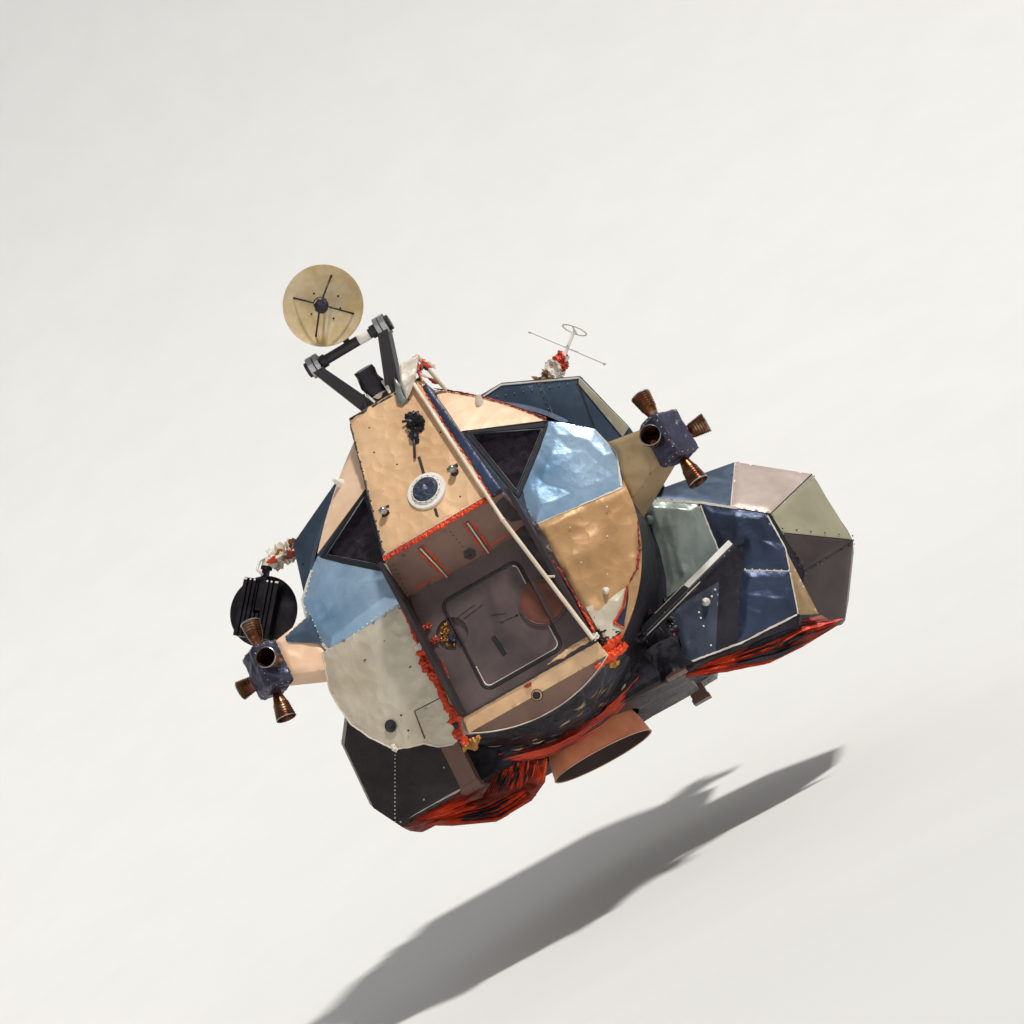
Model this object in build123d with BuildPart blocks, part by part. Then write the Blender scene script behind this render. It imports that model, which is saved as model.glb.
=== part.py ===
from build123d import *
from math import cos, radians, sin
import os

# Ascent stage of a lunar module. Millimetres, +Z up, +X to port, +Y aft.
# The origin is the centre of the four interstage bolt holes, on the plane of their feet.

os.makedirs("parts", exist_ok=True)

# Driving dimensions of the crew cabin
CABIN_R = 1250
CABIN_Z = 1350
CABIN_WALL = 40
RIM_Y = -1572
REAR_Y = -685
BULKHEAD = 40


def on_rim(x):
    """The place on the round belly of the cabin at a distance from the centre plane."""
    return x, CABIN_Z - (CABIN_R ** 2 - x ** 2) ** 0.5


# Front face of the cabin: y is where the outer surface lies
FACE_INNER_Y = -1720
FACE_RIM_Y = -1605
PANEL = 40
RIDGE_IN = (540, 1300)
RIDGE_OUT = (1225, 1250)
BLUE_EDGE = [(1311, 1503), (1257, 1747)]
BLUE_TOP = (1080, 1905)
CHEEK_FOOT = on_rim(753)
SILL_TOP_Z = 350
SILL_FOOT = on_rim(560)
BROW_IN = (408, 2203)
BROW_OUT = (985, 1975)
BROW_TOP = (345, 2710)
BROW_TOP_Y = -1450
BROW_ARC_MID = (696, 2372)

# Nose
NOSE_Y = -2000
NOSE_Z = 1547
NOSE_HALF = 480
NOSE_TOP_Y = -1600
NOSE_TOP_Z = 2800
NOSE_TOP_HALF = 315

# Forward hatch
HATCH_W = 640
HATCH_H = 731
HATCH_FOOT_Z = 419
HATCH_CORNER = 70
HATCH_GAP = 6
HINGE_X = -337
HINGE_Y = -1664
HINGE_R = 11

# Windows: corners of the port window in the front view
WINDOW = [(450, 2160), (930, 1935), (548, 1590)]
GLASS = 12

# Midsection, engine bay and docking tunnel
MID_HALF_Y = 685
MID_BASE_Z = 1400
MID_TOP_Z = 2800
MID_OUTLINE = [(1485, MID_BASE_Z), (1485, 1917), (1349, 2507), (772, MID_TOP_Z)]
PASSAGE_HALF = 685
PASSAGE_TOP_Z = 2300
DECK_Z = 1108
BAY_FOOT_Z = 70
BAY_HALF = 900
TUNNEL_R = 406.4
TUNNEL_WALL = 25
TUNNEL_FOOT_Z = 2383
TUNNEL_TOP_Z = 2840
RING_R = 475

# Engine
BELL_EXIT_R = 432
BELL_EXIT_Z = -126
BELL_THROAT_R = 64
BELL_THROAT_Z = 520
BELL_WALL = 12
ENGINE_R = 200
BELL_HOLE_R = 430

# Thruster quads
QUAD_XY = 1679
QUAD_Z = 1372
QUAD_HALF_U = 95
QUAD_HALF_V = 110
QUAD_HALF_H = 165
NOZZLE_R = 73
NOZZLE_LEN = 200
NOZZLE_RISE = 390
NOZZLE_WAIST_R = 56
CHAMBER_R = 32
CHAMBER_LEN = 60
NOZZLE_SIDE = 1569
NOZZLE_END = 1965

# Aft equipment bay
AFT_Y = 1700
AFT_HALF = 1200
AFT_OUTLINE = [(1050, 230), (AFT_HALF, 420), (AFT_HALF, 1900), (1000, 2380)]
AFT_SHIELD = 30

# Interstage feet
FOOT_X = 870
FOOT_Y = 900
FOOT_SIZE = 140
BOLT_R = 13

# Rendezvous radar: a cross tube turns in the pedestal, and the dish turns on the tube's mast
RADAR_X = -35
RADAR_Y = -1780
RADAR_Z = 3230
RADAR_TILT = 18
RADAR_TUBE_R = 38
RADAR_TUBE_HALF = 245
RADAR_PIN_R = 20
RADAR_PIVOT_UP = 340
RADAR_PIVOT_AHEAD = 18
RADAR_DISH_R = 305
RADAR_DISH_DEPTH = 70
RADAR_NECK = 30
HUB_AHEAD = 150

# Steerable antenna: its arm ends at a pivot, and the dish tilts at the end of a post
STEER_TIP = (-1673, -450, 2565)
STEER_POST = 390
STEER_DISH_R = 300
STEER_DISH_DEPTH = 70
STEER_POST_HALF = 25
STEER_PIN_R = 15
STEER_GAP = 6
FIN_PITCH = 38
FINS = 7

# Further sizes of the face
FAR = 700
FLOOR = 40
FLOOR_Z = 390
SILL_FOOT_Y = FACE_INNER_Y + 30
CHEEK_ARC_MID = on_rim(1050)
CHEEK_ARC_END = on_rim(CABIN_R - 1)
WINDOW_CORNER = 25
NOSE_WALL = 30
RAIL = 35
RAIL_FOOT_Y = -1850
PIN_R = 6
HINGE_ARM = 70
HINGE_FIXED = [(560, 600), (900, 940)]
HINGE_MOVING = [(601, 640), (941, 980)]
BELL_WAIST = (338, 170)
LID_R = 425
LID = 38
LID_GAP = 6
LID_Z = TUNNEL_FOOT_Z - LID_GAP - LID
LID_ARM = 120
EAR = 30
LID_FIXED = [-LID_ARM - EAR / 2 - 1, LID_ARM + EAR / 2 + 1]
LID_HINGE_Y = LID_R + 35
LID_HINGE_Z = LID_Z + LID / 2
CANT = 21
LEAN = 0.055
FOOT_TOP = 600
FOOT_PAD = 160
FOOT_PAD_H = 40
LIGHT_Z = 1857
CONE_R = 38
CONE_H = 90
RAIL_R = 15
RAIL_APEX = (372, -1640, 2935)
RAIL_TOP = (250, -1657, 2760)
RAIL_ELBOW = (402, -2110, 1328)
RAIL_MIDDLE = (468, -2009, 850)
RAIL_END = (540, -1900, 330)
RAIL_BRACE = (430, 2620)
STRIP_START = (765, -1100, 314)
STRIP_END = (1725, -1100, 584)
STRIP_WIDE = 110
STRIP_TALL = 75
STRIP_THICK = 5

# Round fittings of the hatch, across its two upright edges
VALVE = (-340, 908, 118)
VALVE_DEPTH = 25
COVER = (338, 781, 174)
COVER_DEPTH = 14
RIB_FEET = [((-224, 1509), (-178, 1177)), ((156, 1501), (163, 1163))]
RIB_R = 14
SILL_KNOB = (-10, 230)
LAMPS = [(-340, 1869), (238, 1880)]
LAMP_R = 30
MAST_FOOT = (930, -300, 2674)
MAST_NECK = (1330, -300, 2890)
MAST_TOP = (1500, -300, 3035)
WHIP = [(1169, -300, 3224), (1573, -300, 2642)]
HALO_R = 105


def mirrored(outline):
    """The outline on the other side of the centre plane."""
    return [(-x, z) for x, z in outline]


def both_sides(outline):
    """A closed outline from its port half, listed from the bottom up."""
    return outline + mirrored(outline)[::-1]


def prism(outline, near, far, mode=Mode.ADD):
    """A solid with an outline in x and z, between two stations along y."""
    with BuildSketch(Plane.XZ.offset(-far)) as face:
        with BuildLine():
            Polyline(*outline, close=True)
        make_face()
    extrude(face.sketch, amount=far - near, mode=mode)


def plane_of(points):
    """The plane through three points, its normal towards the front."""
    a, b, c = [Vector(*p) for p in points]
    normal = (b - a).cross(c - a)
    if normal.Y > 0:
        normal = normal * -1
    return Plane(origin=a, x_dir=b - a, z_dir=normal.normalized())


def face_plane(corners, stations):
    """The plane through three front view corners at their stations along y."""
    return plane_of([(x, y, z) for (x, z), y in zip(corners, stations)])


def cut_front(plane):
    """Keeps what lies behind the plane."""
    split(bisect_by=plane, keep=Keep.BOTTOM)


def cut_back(plane, thickness):
    """Keeps what lies within a thickness behind the plane."""
    split(bisect_by=plane.offset(-thickness), keep=Keep.TOP)


def side_prism(profile, left, right, mode=Mode.ADD):
    """A solid with a profile in y and z, between two stations along x."""
    with BuildSketch(Plane.YZ.offset(left)) as face:
        with BuildLine():
            Polyline(*profile, close=True)
        make_face()
    extrude(face.sketch, amount=right - left, mode=mode)


def panel(outline, plane, thickness):
    """A plate with a front view outline, between a leaning plane and its parallel behind it."""
    prism(outline, NOSE_Y - FAR, REAR_Y)
    cut_front(plane)
    cut_back(plane, thickness)


def drum(center, axis, radius, length, mode=Mode.ADD):
    """A round bar from a point along an axis."""
    with BuildSketch(Plane(origin=center, z_dir=axis)) as face:
        Circle(radius)
    extrude(face.sketch, amount=length, mode=mode)


def rod(start, end, radius, mode=Mode.ADD):
    """A round bar between two points."""
    a, b = Vector(*start), Vector(*end)
    drum(a, b - a, radius, (b - a).length, mode)


def block(low, high, mode=Mode.ADD):
    """A box between two opposite corners."""
    with Locations(tuple((a + b) / 2 for a, b in zip(low, high))):
        Box(*[b - a for a, b in zip(low, high)], mode=mode)


def taper(start, end, start_radius, end_radius):
    """A round bar that narrows from one end to the other."""
    a, b = Vector(*start), Vector(*end)
    with BuildSketch(Plane(origin=a, z_dir=b - a)) as foot:
        Circle(start_radius)
    with BuildSketch(Plane(origin=b, z_dir=b - a)) as top:
        Circle(end_radius)
    loft([foot.sketch, top.sketch])


def block_on(plane, low, high, mode=Mode.ADD):
    """A box between two opposite corners in a plane's own coordinates."""
    with BuildSketch(plane.offset(low[2])) as face:
        with Locations(((low[0] + high[0]) / 2, (low[1] + high[1]) / 2)):
            Rectangle(high[0] - low[0], high[1] - low[1])
    extrude(face.sketch, amount=high[2] - low[2], mode=mode)


def drum_on(plane, center, axis, radius, length, mode=Mode.ADD):
    """A round bar in a plane's own coordinates."""
    start = plane.from_local_coords(Vector(*center))
    ahead = plane.from_local_coords(Vector(*center) + Vector(*axis))
    drum(start, ahead - start, radius, length, mode)


def profile_of(head):
    """The plane across a head's own x, for profiles in its y and z."""
    return Plane(origin=head.origin, x_dir=head.y_dir, z_dir=head.x_dir)


def dish(head, vertex, rim, center_z, radius, thickness):
    """A round dish about a head's own y, from its back vertex to its rim."""
    half_way = vertex + (rim - vertex) / 4
    ahead = thickness if rim > vertex else -thickness
    with BuildSketch(profile_of(head)) as half:
        with BuildLine():
            back = ThreePointArc((vertex, center_z), (half_way, center_z + radius / 2),
                                 (rim, center_z + radius))
            edge = Line(back @ 1, (rim + ahead, center_z + radius - thickness / 3))
            front = ThreePointArc(edge @ 1, (half_way + ahead * 1.1, center_z + radius / 2),
                                  (vertex + ahead, center_z))
            Line(front @ 1, back @ 0)
        make_face()
    revolve(half.sketch, axis=Axis(head.from_local_coords(Vector(0, 0, center_z)), head.y_dir))


def keep_above(z):
    split(bisect_by=Plane.XY.offset(z), keep=Keep.TOP)


def keep_below(z):
    split(bisect_by=Plane.XY.offset(z), keep=Keep.BOTTOM)


def save(piece, name):
    """Labels a finished piece and writes its file."""
    piece.part.label = name
    export_step(piece.part, f"parts/{name}.step")


def cabin_body(inset, near, far, mode=Mode.ADD):
    """The cabin's cross section, a round belly under two sloping shoulders, between two stations."""
    with BuildSketch(Plane.XZ.offset(-far)) as section:
        with Locations((0, CABIN_Z)):
            Circle(CABIN_R)
        with BuildSketch(Plane.XY, mode=Mode.PRIVATE) as shoulders:
            with BuildLine():
                Polyline(BROW_TOP, (NOSE_TOP_HALF, MID_TOP_Z), (-NOSE_TOP_HALF, MID_TOP_Z),
                         *mirrored([BROW_TOP]))
                ThreePointArc(*mirrored([BROW_TOP, BROW_ARC_MID, BROW_OUT]))
                Polyline(*mirrored([BROW_OUT, BLUE_TOP, *BLUE_EDGE[::-1], CHEEK_ARC_END]),
                         CHEEK_ARC_END, *BLUE_EDGE, BLUE_TOP, BROW_OUT)
                ThreePointArc(BROW_OUT, BROW_ARC_MID, BROW_TOP)
            make_face()
        add(shoulders.sketch)
        if inset:
            offset(amount=-inset)
    extrude(section.sketch, amount=far - near, mode=mode)


def nose_body(inset, mode=Mode.ADD):
    """The nose, a wedge with leaning front, undercut and sides, with every face moved inwards."""
    near, far = NOSE_Y - FAR, RIM_Y - inset
    with BuildPart(mode=Mode.PRIVATE) as body:
        block((-FAR, near, RIDGE_IN[1] + inset), (FAR, far, NOSE_TOP_Z - inset))
        for plane in (nose_plane, undercut_plane):
            split(bisect_by=plane.offset(-inset), keep=Keep.BOTTOM)
        for plane in nose_side_planes:
            split(bisect_by=plane.offset(-inset), keep=Keep.BOTTOM)
    add(body.part, mode=mode)


def outward(points, side):
    """The plane through three points, its normal away from the centre plane."""
    a, b, c = [Vector(side * x, y, z) for x, y, z in points]
    normal = (b - a).cross(c - a)
    if normal.X * side < 0:
        normal = normal * -1
    return Plane(origin=a, x_dir=b - a, z_dir=normal.normalized())


# Planes of the face
cheek_plane = face_plane([RIDGE_IN, RIDGE_OUT, CHEEK_FOOT], [FACE_INNER_Y, FACE_RIM_Y, FACE_RIM_Y])
window_plane = face_plane([RIDGE_IN, RIDGE_OUT, BLUE_TOP], [FACE_INNER_Y, FACE_RIM_Y, FACE_RIM_Y])
brow_plane = face_plane([BROW_IN, BROW_OUT, BROW_TOP], [FACE_INNER_Y + 7, FACE_RIM_Y - 21, BROW_TOP_Y])
nose_plane = face_plane([(NOSE_HALF, NOSE_Z), (-NOSE_HALF, NOSE_Z), (NOSE_TOP_HALF, NOSE_TOP_Z)],
                        [NOSE_Y, NOSE_Y, NOSE_TOP_Y])
undercut_plane = face_plane([(NOSE_HALF, NOSE_Z), (-NOSE_HALF, NOSE_Z), RIDGE_IN],
                            [NOSE_Y, NOSE_Y, FACE_INNER_Y])
sill_plane = face_plane([(-SILL_FOOT[0], SILL_TOP_Z), (SILL_FOOT[0], SILL_TOP_Z), SILL_FOOT],
                        [FACE_INNER_Y, FACE_INNER_Y, SILL_FOOT_Y])
lip_plane = face_plane([(-SILL_FOOT[0], SILL_FOOT[1]), SILL_FOOT, (0, CABIN_Z - CABIN_R)],
                       [SILL_FOOT_Y, SILL_FOOT_Y, FACE_RIM_Y])
nose_corners = [(NOSE_HALF, NOSE_Y, NOSE_Z), (NOSE_TOP_HALF, NOSE_TOP_Y, NOSE_TOP_Z),
                (RIDGE_IN[0], FACE_INNER_Y, RIDGE_IN[1])]
nose_side_planes = [outward(nose_corners, side) for side in (1, -1)]
SIDES = [("port", 1), ("starboard", -1)]


def on_plane(plane, x, z):
    """The point of a face plane at a place in the front view."""
    normal = plane.z_dir
    y = plane.origin.Y - ((x - plane.origin.X) * normal.X + (z - plane.origin.Z) * normal.Z) / normal.Y
    return Vector(x, y, z)


def across(point):
    """The same point or direction on the other side of the centre plane."""
    return Vector(-point.X, point.Y, point.Z)


brow_cone = on_plane(brow_plane, 604, 2399)
CONES = [(brow_cone, brow_plane.z_dir), (across(brow_cone), across(brow_plane.z_dir)),
         (on_plane(cheek_plane, 754, 641), cheek_plane.z_dir), (Vector(1321, -650, 420), Vector(0, -1, 0))]
recess_sides = []
window_panes = []
brows = []


def hatch_plate(grown, near, far, mode=Mode.ADD):
    """The hatch outline, grown all round, between two stations."""
    with BuildSketch(Plane.XZ.offset(-far)) as outline:
        with Locations((0, HATCH_FOOT_Z + HATCH_H / 2)):
            RectangleRounded(HATCH_W + 2 * grown, HATCH_H + 2 * grown, HATCH_CORNER + grown)
    extrude(outline.sketch, amount=far - near, mode=mode)


def round_fitting(fitting, near, far, mode=Mode.ADD):
    """A round plate or pocket at its x, z and radius, between two stations."""
    x, z, radius = fitting
    drum((x, near, z), (0, 1, 0), radius, far - near, mode)

# Crew cabin: barrel, roof and rear bulkhead
with BuildPart() as cabin_barrel:
    cabin_body(0, RIM_Y, REAR_Y - BULKHEAD)
    cabin_body(CABIN_WALL, RIM_Y - 1, REAR_Y - BULKHEAD + 1, mode=Mode.SUBTRACT)
    keep_below(BLUE_TOP[1])
save(cabin_barrel, "cabin_barrel")

with BuildPart() as cabin_roof:
    cabin_body(0, NOSE_Y, REAR_Y - BULKHEAD)
    cabin_body(CABIN_WALL, NOSE_Y - 1, REAR_Y - BULKHEAD + 1, mode=Mode.SUBTRACT)
    keep_above(BLUE_TOP[1])
    cut_front(brow_plane.offset(-PANEL))
    split(bisect_by=Plane.XZ.offset(-RIM_Y), keep=Keep.BOTTOM)
    split(bisect_by=Plane.YZ, keep=Keep.TOP)
    prism([(0, NOSE_TOP_Z), (NOSE_TOP_HALF, NOSE_TOP_Z), (NOSE_TOP_HALF, NOSE_TOP_Z - PANEL),
           (0, NOSE_TOP_Z - PANEL)], RIM_Y, REAR_Y - BULKHEAD)
    mirror(about=Plane.YZ)
save(cabin_roof, "cabin_roof")

with BuildPart() as cabin_rear_bulkhead:
    cabin_body(0, REAR_Y - BULKHEAD, REAR_Y)
    block((-PASSAGE_HALF, REAR_Y - BULKHEAD - 1, DECK_Z), (PASSAGE_HALF, REAR_Y + 1, PASSAGE_TOP_Z),
          mode=Mode.SUBTRACT)
save(cabin_rear_bulkhead, "cabin_rear_bulkhead")

with BuildPart() as cabin_floor:
    with BuildSketch(Plane.XY.offset(FLOOR_Z)):
        floor_half = ((CABIN_R - CABIN_WALL) ** 2 - (CABIN_Z - FLOOR_Z + FLOOR) ** 2) ** 0.5
        floor_mid = (RIM_Y + REAR_Y - BULKHEAD) / 2
        with Locations((0, floor_mid)):
            Rectangle(2 * floor_half, REAR_Y - BULKHEAD - RIM_Y)
    extrude(amount=-FLOOR)
save(cabin_floor, "cabin_floor")

# Face of the cabin
with BuildPart() as forward_bulkhead:
    prism(both_sides([(RIDGE_IN[0], SILL_TOP_Z), RIDGE_IN]), FACE_INNER_Y, FACE_INNER_Y + BULKHEAD)
    round_fitting(COVER, FACE_INNER_Y - COVER_DEPTH, FACE_INNER_Y)
    block((RIDGE_IN[0] - RAIL, NOSE_Y, 0), (FAR, FACE_INNER_Y, RIDGE_IN[1]), mode=Mode.SUBTRACT)
    round_fitting(VALVE, FACE_INNER_Y, FACE_INNER_Y + VALVE_DEPTH, mode=Mode.SUBTRACT)
    hatch_plate(HATCH_GAP, FACE_INNER_Y - COVER_DEPTH, FACE_INNER_Y + BULKHEAD, mode=Mode.SUBTRACT)
    for foot, top in HINGE_FIXED:
        drum((HINGE_X, HINGE_Y, foot), (0, 0, 1), HINGE_R, top - foot)
        block((HINGE_X - HINGE_R, FACE_INNER_Y + BULKHEAD, foot), (HINGE_X, HINGE_Y, top))
        drum((HINGE_X, HINGE_Y, foot - 1), (0, 0, 1), PIN_R, top - foot + 2, mode=Mode.SUBTRACT)
save(forward_bulkhead, "forward_bulkhead")

with BuildPart() as forward_hatch:
    hatch_plate(0, FACE_INNER_Y, FACE_INNER_Y + BULKHEAD)
    with BuildPart(mode=Mode.PRIVATE) as cover:
        hatch_plate(0, FACE_INNER_Y - COVER_DEPTH, FACE_INNER_Y)
        round_fitting(COVER, FACE_INNER_Y - COVER_DEPTH, FACE_INNER_Y, mode=Mode.INTERSECT)
    add(cover.part)
    round_fitting(VALVE, FACE_INNER_Y, FACE_INNER_Y + VALVE_DEPTH, mode=Mode.SUBTRACT)
    for foot, top in HINGE_MOVING:
        drum((HINGE_X, HINGE_Y, foot), (0, 0, 1), HINGE_R, top - foot)
        block((HINGE_X, HINGE_Y - 4, foot), (HINGE_X + HINGE_ARM, HINGE_Y + 4, top))
        block((HINGE_X + HINGE_ARM - 20, FACE_INNER_Y + BULKHEAD, foot), (HINGE_X + HINGE_ARM, HINGE_Y, top))
        drum((HINGE_X, HINGE_Y, foot - 25), (0, 0, 1), PIN_R - 0.1, top - foot + 25)
save(forward_hatch, "forward_hatch")

with BuildPart() as sill_panel:
    panel(both_sides([SILL_FOOT, (RIDGE_IN[0], SILL_TOP_Z)]), sill_plane, PANEL)
    knob = on_plane(sill_plane, *SILL_KNOB)
    drum(knob, sill_plane.z_dir, 36, 12)
    drum(knob, sill_plane.z_dir, 26, 28)
save(sill_panel, "sill_panel")

with BuildPart() as lip_panel:
    with BuildSketch(Plane.XZ.offset(-RIM_Y)) as lip_outline:
        with BuildLine():
            lip_arc = ThreePointArc(SILL_FOOT, (0, CABIN_Z - CABIN_R), (-SILL_FOOT[0], SILL_FOOT[1]))
            Line(lip_arc @ 1, lip_arc @ 0)
        make_face()
    extrude(lip_outline.sketch, amount=FAR)
    cut_front(lip_plane)
save(lip_panel, "lip_panel")

for side_name, side in SIDES:
    with BuildPart() as cheek:
        with BuildSketch(Plane.XZ.offset(-RIM_Y)) as cheek_outline:
            with BuildLine():
                cheek_arc = ThreePointArc(SILL_FOOT, CHEEK_ARC_MID, CHEEK_ARC_END)
                Polyline(cheek_arc @ 1, RIDGE_OUT, RIDGE_IN, (RIDGE_IN[0], SILL_TOP_Z), cheek_arc @ 0)
            make_face()
        extrude(cheek_outline.sketch, amount=FAR)
        cut_front(cheek_plane)
        if side < 0:
            mirror(about=Plane.YZ, mode=Mode.REPLACE)
    save(cheek, f"cheek_{side_name}")

    with BuildPart() as window_panel:
        prism([RIDGE_IN, RIDGE_OUT, CHEEK_ARC_END, *BLUE_EDGE, BLUE_TOP, BROW_OUT, BROW_IN,
               (300, BROW_IN[1]), (300, RIDGE_IN[1])], NOSE_Y - FAR, RIM_Y)
        cut_front(window_plane)
        nose_body(0, mode=Mode.SUBTRACT)
        block((0, NOSE_Y, 0), (RIDGE_IN[0], FACE_INNER_Y, NOSE_Z), mode=Mode.SUBTRACT)
        with BuildSketch(Plane.XZ.offset(-RIM_Y)) as window_hole:
            with BuildLine():
                Polyline(*WINDOW, close=True)
            make_face()
            fillet(window_hole.vertices(), WINDOW_CORNER)
        extrude(window_hole.sketch, amount=FAR, mode=Mode.SUBTRACT)
        if side < 0:
            mirror(about=Plane.YZ, mode=Mode.REPLACE)
    save(window_panel, f"window_panel_{side_name}")

    with BuildPart() as window:
        with BuildSketch(Plane.XZ.offset(-RIM_Y)) as window_shape:
            with BuildLine():
                Polyline(*WINDOW, close=True)
            make_face()
            fillet(window_shape.vertices(), WINDOW_CORNER)
        extrude(window_shape.sketch, amount=GLASS)
        if side < 0:
            mirror(about=Plane.YZ, mode=Mode.REPLACE)
    window_panes.append(window.part)

    with BuildPart() as brow:
        with BuildSketch(Plane.XZ.offset(-REAR_Y)) as brow_outline:
            with BuildLine():
                brow_arc = ThreePointArc(BROW_OUT, BROW_ARC_MID, BROW_TOP)
                Polyline(brow_arc @ 1, (250, BROW_TOP[1]), (250, BROW_IN[1]), BROW_IN, brow_arc @ 0)
            make_face()
        extrude(brow_outline.sketch, amount=-NOSE_Y + FAR + REAR_Y)
        cut_front(brow_plane)
        cut_back(brow_plane, PANEL)
        nose_body(0, mode=Mode.SUBTRACT)
        block((0, RIM_Y, 0), (BROW_TOP[0], 0, 2 * NOSE_TOP_Z), mode=Mode.SUBTRACT)
        if side < 0:
            mirror(about=Plane.YZ, mode=Mode.REPLACE)
    brows.append(brow.part)
    save(brow, f"brow_{side_name}")

    with BuildPart() as nose_side:
        nose_body(0)
        nose_body(NOSE_WALL, mode=Mode.SUBTRACT)
        cut_front(nose_plane.offset(-NOSE_WALL))
        cut_front(undercut_plane.offset(-NOSE_WALL))
        split(bisect_by=Plane.XZ.offset(NOSE_WALL - RIM_Y), keep=Keep.TOP)
        split(bisect_by=nose_side_planes[0].offset(-NOSE_WALL), keep=Keep.TOP)
        if side < 0:
            mirror(about=Plane.YZ, mode=Mode.REPLACE)
    save(nose_side, f"nose_side_{side_name}")

    with BuildPart() as recess_side:
        side_prism([(NOSE_Y, NOSE_Z), (FACE_INNER_Y, RIDGE_IN[1]), (FACE_INNER_Y, SILL_TOP_Z),
                    (RAIL_FOOT_Y, SILL_TOP_Z)], RIDGE_IN[0] - RAIL, RIDGE_IN[0])
        if side < 0:
            mirror(about=Plane.YZ, mode=Mode.REPLACE)
    recess_sides.append(recess_side.part)
    save(recess_side, f"recess_side_{side_name}")

with BuildPart() as windows:
    add(window_panes)
save(windows, "windows")

with BuildPart() as nose_panel:
    nose_body(0)
    cut_back(nose_plane, NOSE_WALL)
save(nose_panel, "nose_panel")

with BuildPart() as nose_undercut:
    nose_body(0)
    cut_front(nose_plane.offset(-NOSE_WALL))
    cut_back(undercut_plane, NOSE_WALL)
    for front_end, rear_end in RIB_FEET:
        rod(on_plane(undercut_plane, *front_end), on_plane(undercut_plane, *rear_end), RIB_R)
    cut_front(nose_plane.offset(-NOSE_WALL))
    block((-FAR, FACE_INNER_Y, 0), (FAR, 0, RIDGE_IN[1]), mode=Mode.SUBTRACT)
save(nose_undercut, "nose_undercut")

with BuildPart() as nose_back:
    nose_body(0)
    cut_front(nose_plane.offset(-NOSE_WALL))
    cut_front(undercut_plane.offset(-NOSE_WALL))
    split(bisect_by=Plane.XZ.offset(NOSE_WALL - RIM_Y), keep=Keep.BOTTOM)
save(nose_back, "nose_back")

# Midsection, engine bay and engine
with BuildPart() as midsection_shell:
    prism(both_sides(MID_OUTLINE), -MID_HALF_Y, MID_HALF_Y)
    with BuildSketch(Plane.XZ.offset(-MID_HALF_Y)) as mid_inside:
        with BuildLine():
            Polyline(*both_sides(MID_OUTLINE), close=True)
        make_face()
        offset(amount=-CABIN_WALL)
    extrude(mid_inside.sketch, amount=2 * MID_HALF_Y, mode=Mode.SUBTRACT)
    block((-BAY_HALF + CABIN_WALL, -MID_HALF_Y, MID_BASE_Z),
          (BAY_HALF - CABIN_WALL, MID_HALF_Y, MID_BASE_Z + CABIN_WALL), mode=Mode.SUBTRACT)
    drum((0, 0, MID_TOP_Z - 2 * CABIN_WALL), (0, 0, 1), TUNNEL_R + TUNNEL_WALL, 4 * CABIN_WALL,
         mode=Mode.SUBTRACT)
save(midsection_shell, "midsection_shell")

for end_name, end_y in (("front", -MID_HALF_Y), ("rear", MID_HALF_Y - BULKHEAD)):
    with BuildPart() as mid_bulkhead:
        with BuildSketch(Plane.XZ.offset(-end_y - BULKHEAD)) as bulkhead_outline:
            with BuildLine():
                Polyline(*both_sides(MID_OUTLINE), close=True)
            make_face()
            offset(amount=-CABIN_WALL)
        extrude(bulkhead_outline.sketch, amount=BULKHEAD)
        if end_y < 0:
            block((-PASSAGE_HALF, end_y, MID_BASE_Z), (PASSAGE_HALF, end_y + BULKHEAD, PASSAGE_TOP_Z),
                  mode=Mode.SUBTRACT)
    save(mid_bulkhead, f"midsection_{end_name}_bulkhead")

with BuildPart() as engine_bay:
    block((-BAY_HALF, -MID_HALF_Y, BAY_FOOT_Z), (BAY_HALF, MID_HALF_Y, MID_BASE_Z))
    block((-BAY_HALF + CABIN_WALL, -MID_HALF_Y + CABIN_WALL, BAY_FOOT_Z + CABIN_WALL),
          (BAY_HALF - CABIN_WALL, MID_HALF_Y - CABIN_WALL, MID_BASE_Z), mode=Mode.SUBTRACT)
    block((-PASSAGE_HALF, -MID_HALF_Y, DECK_Z), (PASSAGE_HALF, -MID_HALF_Y + CABIN_WALL, MID_BASE_Z),
          mode=Mode.SUBTRACT)
    drum((0, 0, BAY_FOOT_Z), (0, 0, 1), BELL_HOLE_R, CABIN_WALL, mode=Mode.SUBTRACT)
save(engine_bay, "engine_bay")

with BuildPart() as midsection_deck:
    block((-BAY_HALF + CABIN_WALL, -MID_HALF_Y + CABIN_WALL, DECK_Z - CABIN_WALL),
          (BAY_HALF - CABIN_WALL, MID_HALF_Y - CABIN_WALL, DECK_Z))
save(midsection_deck, "midsection_deck")

with BuildPart() as ascent_engine:
    drum((0, 0, BELL_THROAT_Z), (0, 0, 1), ENGINE_R, DECK_Z - CABIN_WALL - BELL_THROAT_Z)
save(ascent_engine, "ascent_engine")

with BuildPart() as engine_bell:
    with BuildSketch(Plane.XZ):
        with BuildLine():
            inner = ThreePointArc((BELL_EXIT_R - BELL_WALL, BELL_EXIT_Z), BELL_WAIST,
                                  (BELL_THROAT_R, BELL_THROAT_Z))
            outer = ThreePointArc((BELL_EXIT_R, BELL_EXIT_Z), (BELL_WAIST[0] + BELL_WALL, BELL_WAIST[1]),
                                  (BELL_THROAT_R + 2 * BELL_WALL, BELL_THROAT_Z))
            Line(inner @ 1, outer @ 1)
            Line(inner @ 0, outer @ 0)
        make_face()
    revolve(axis=Axis.Z)
save(engine_bell, "engine_bell")

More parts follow.
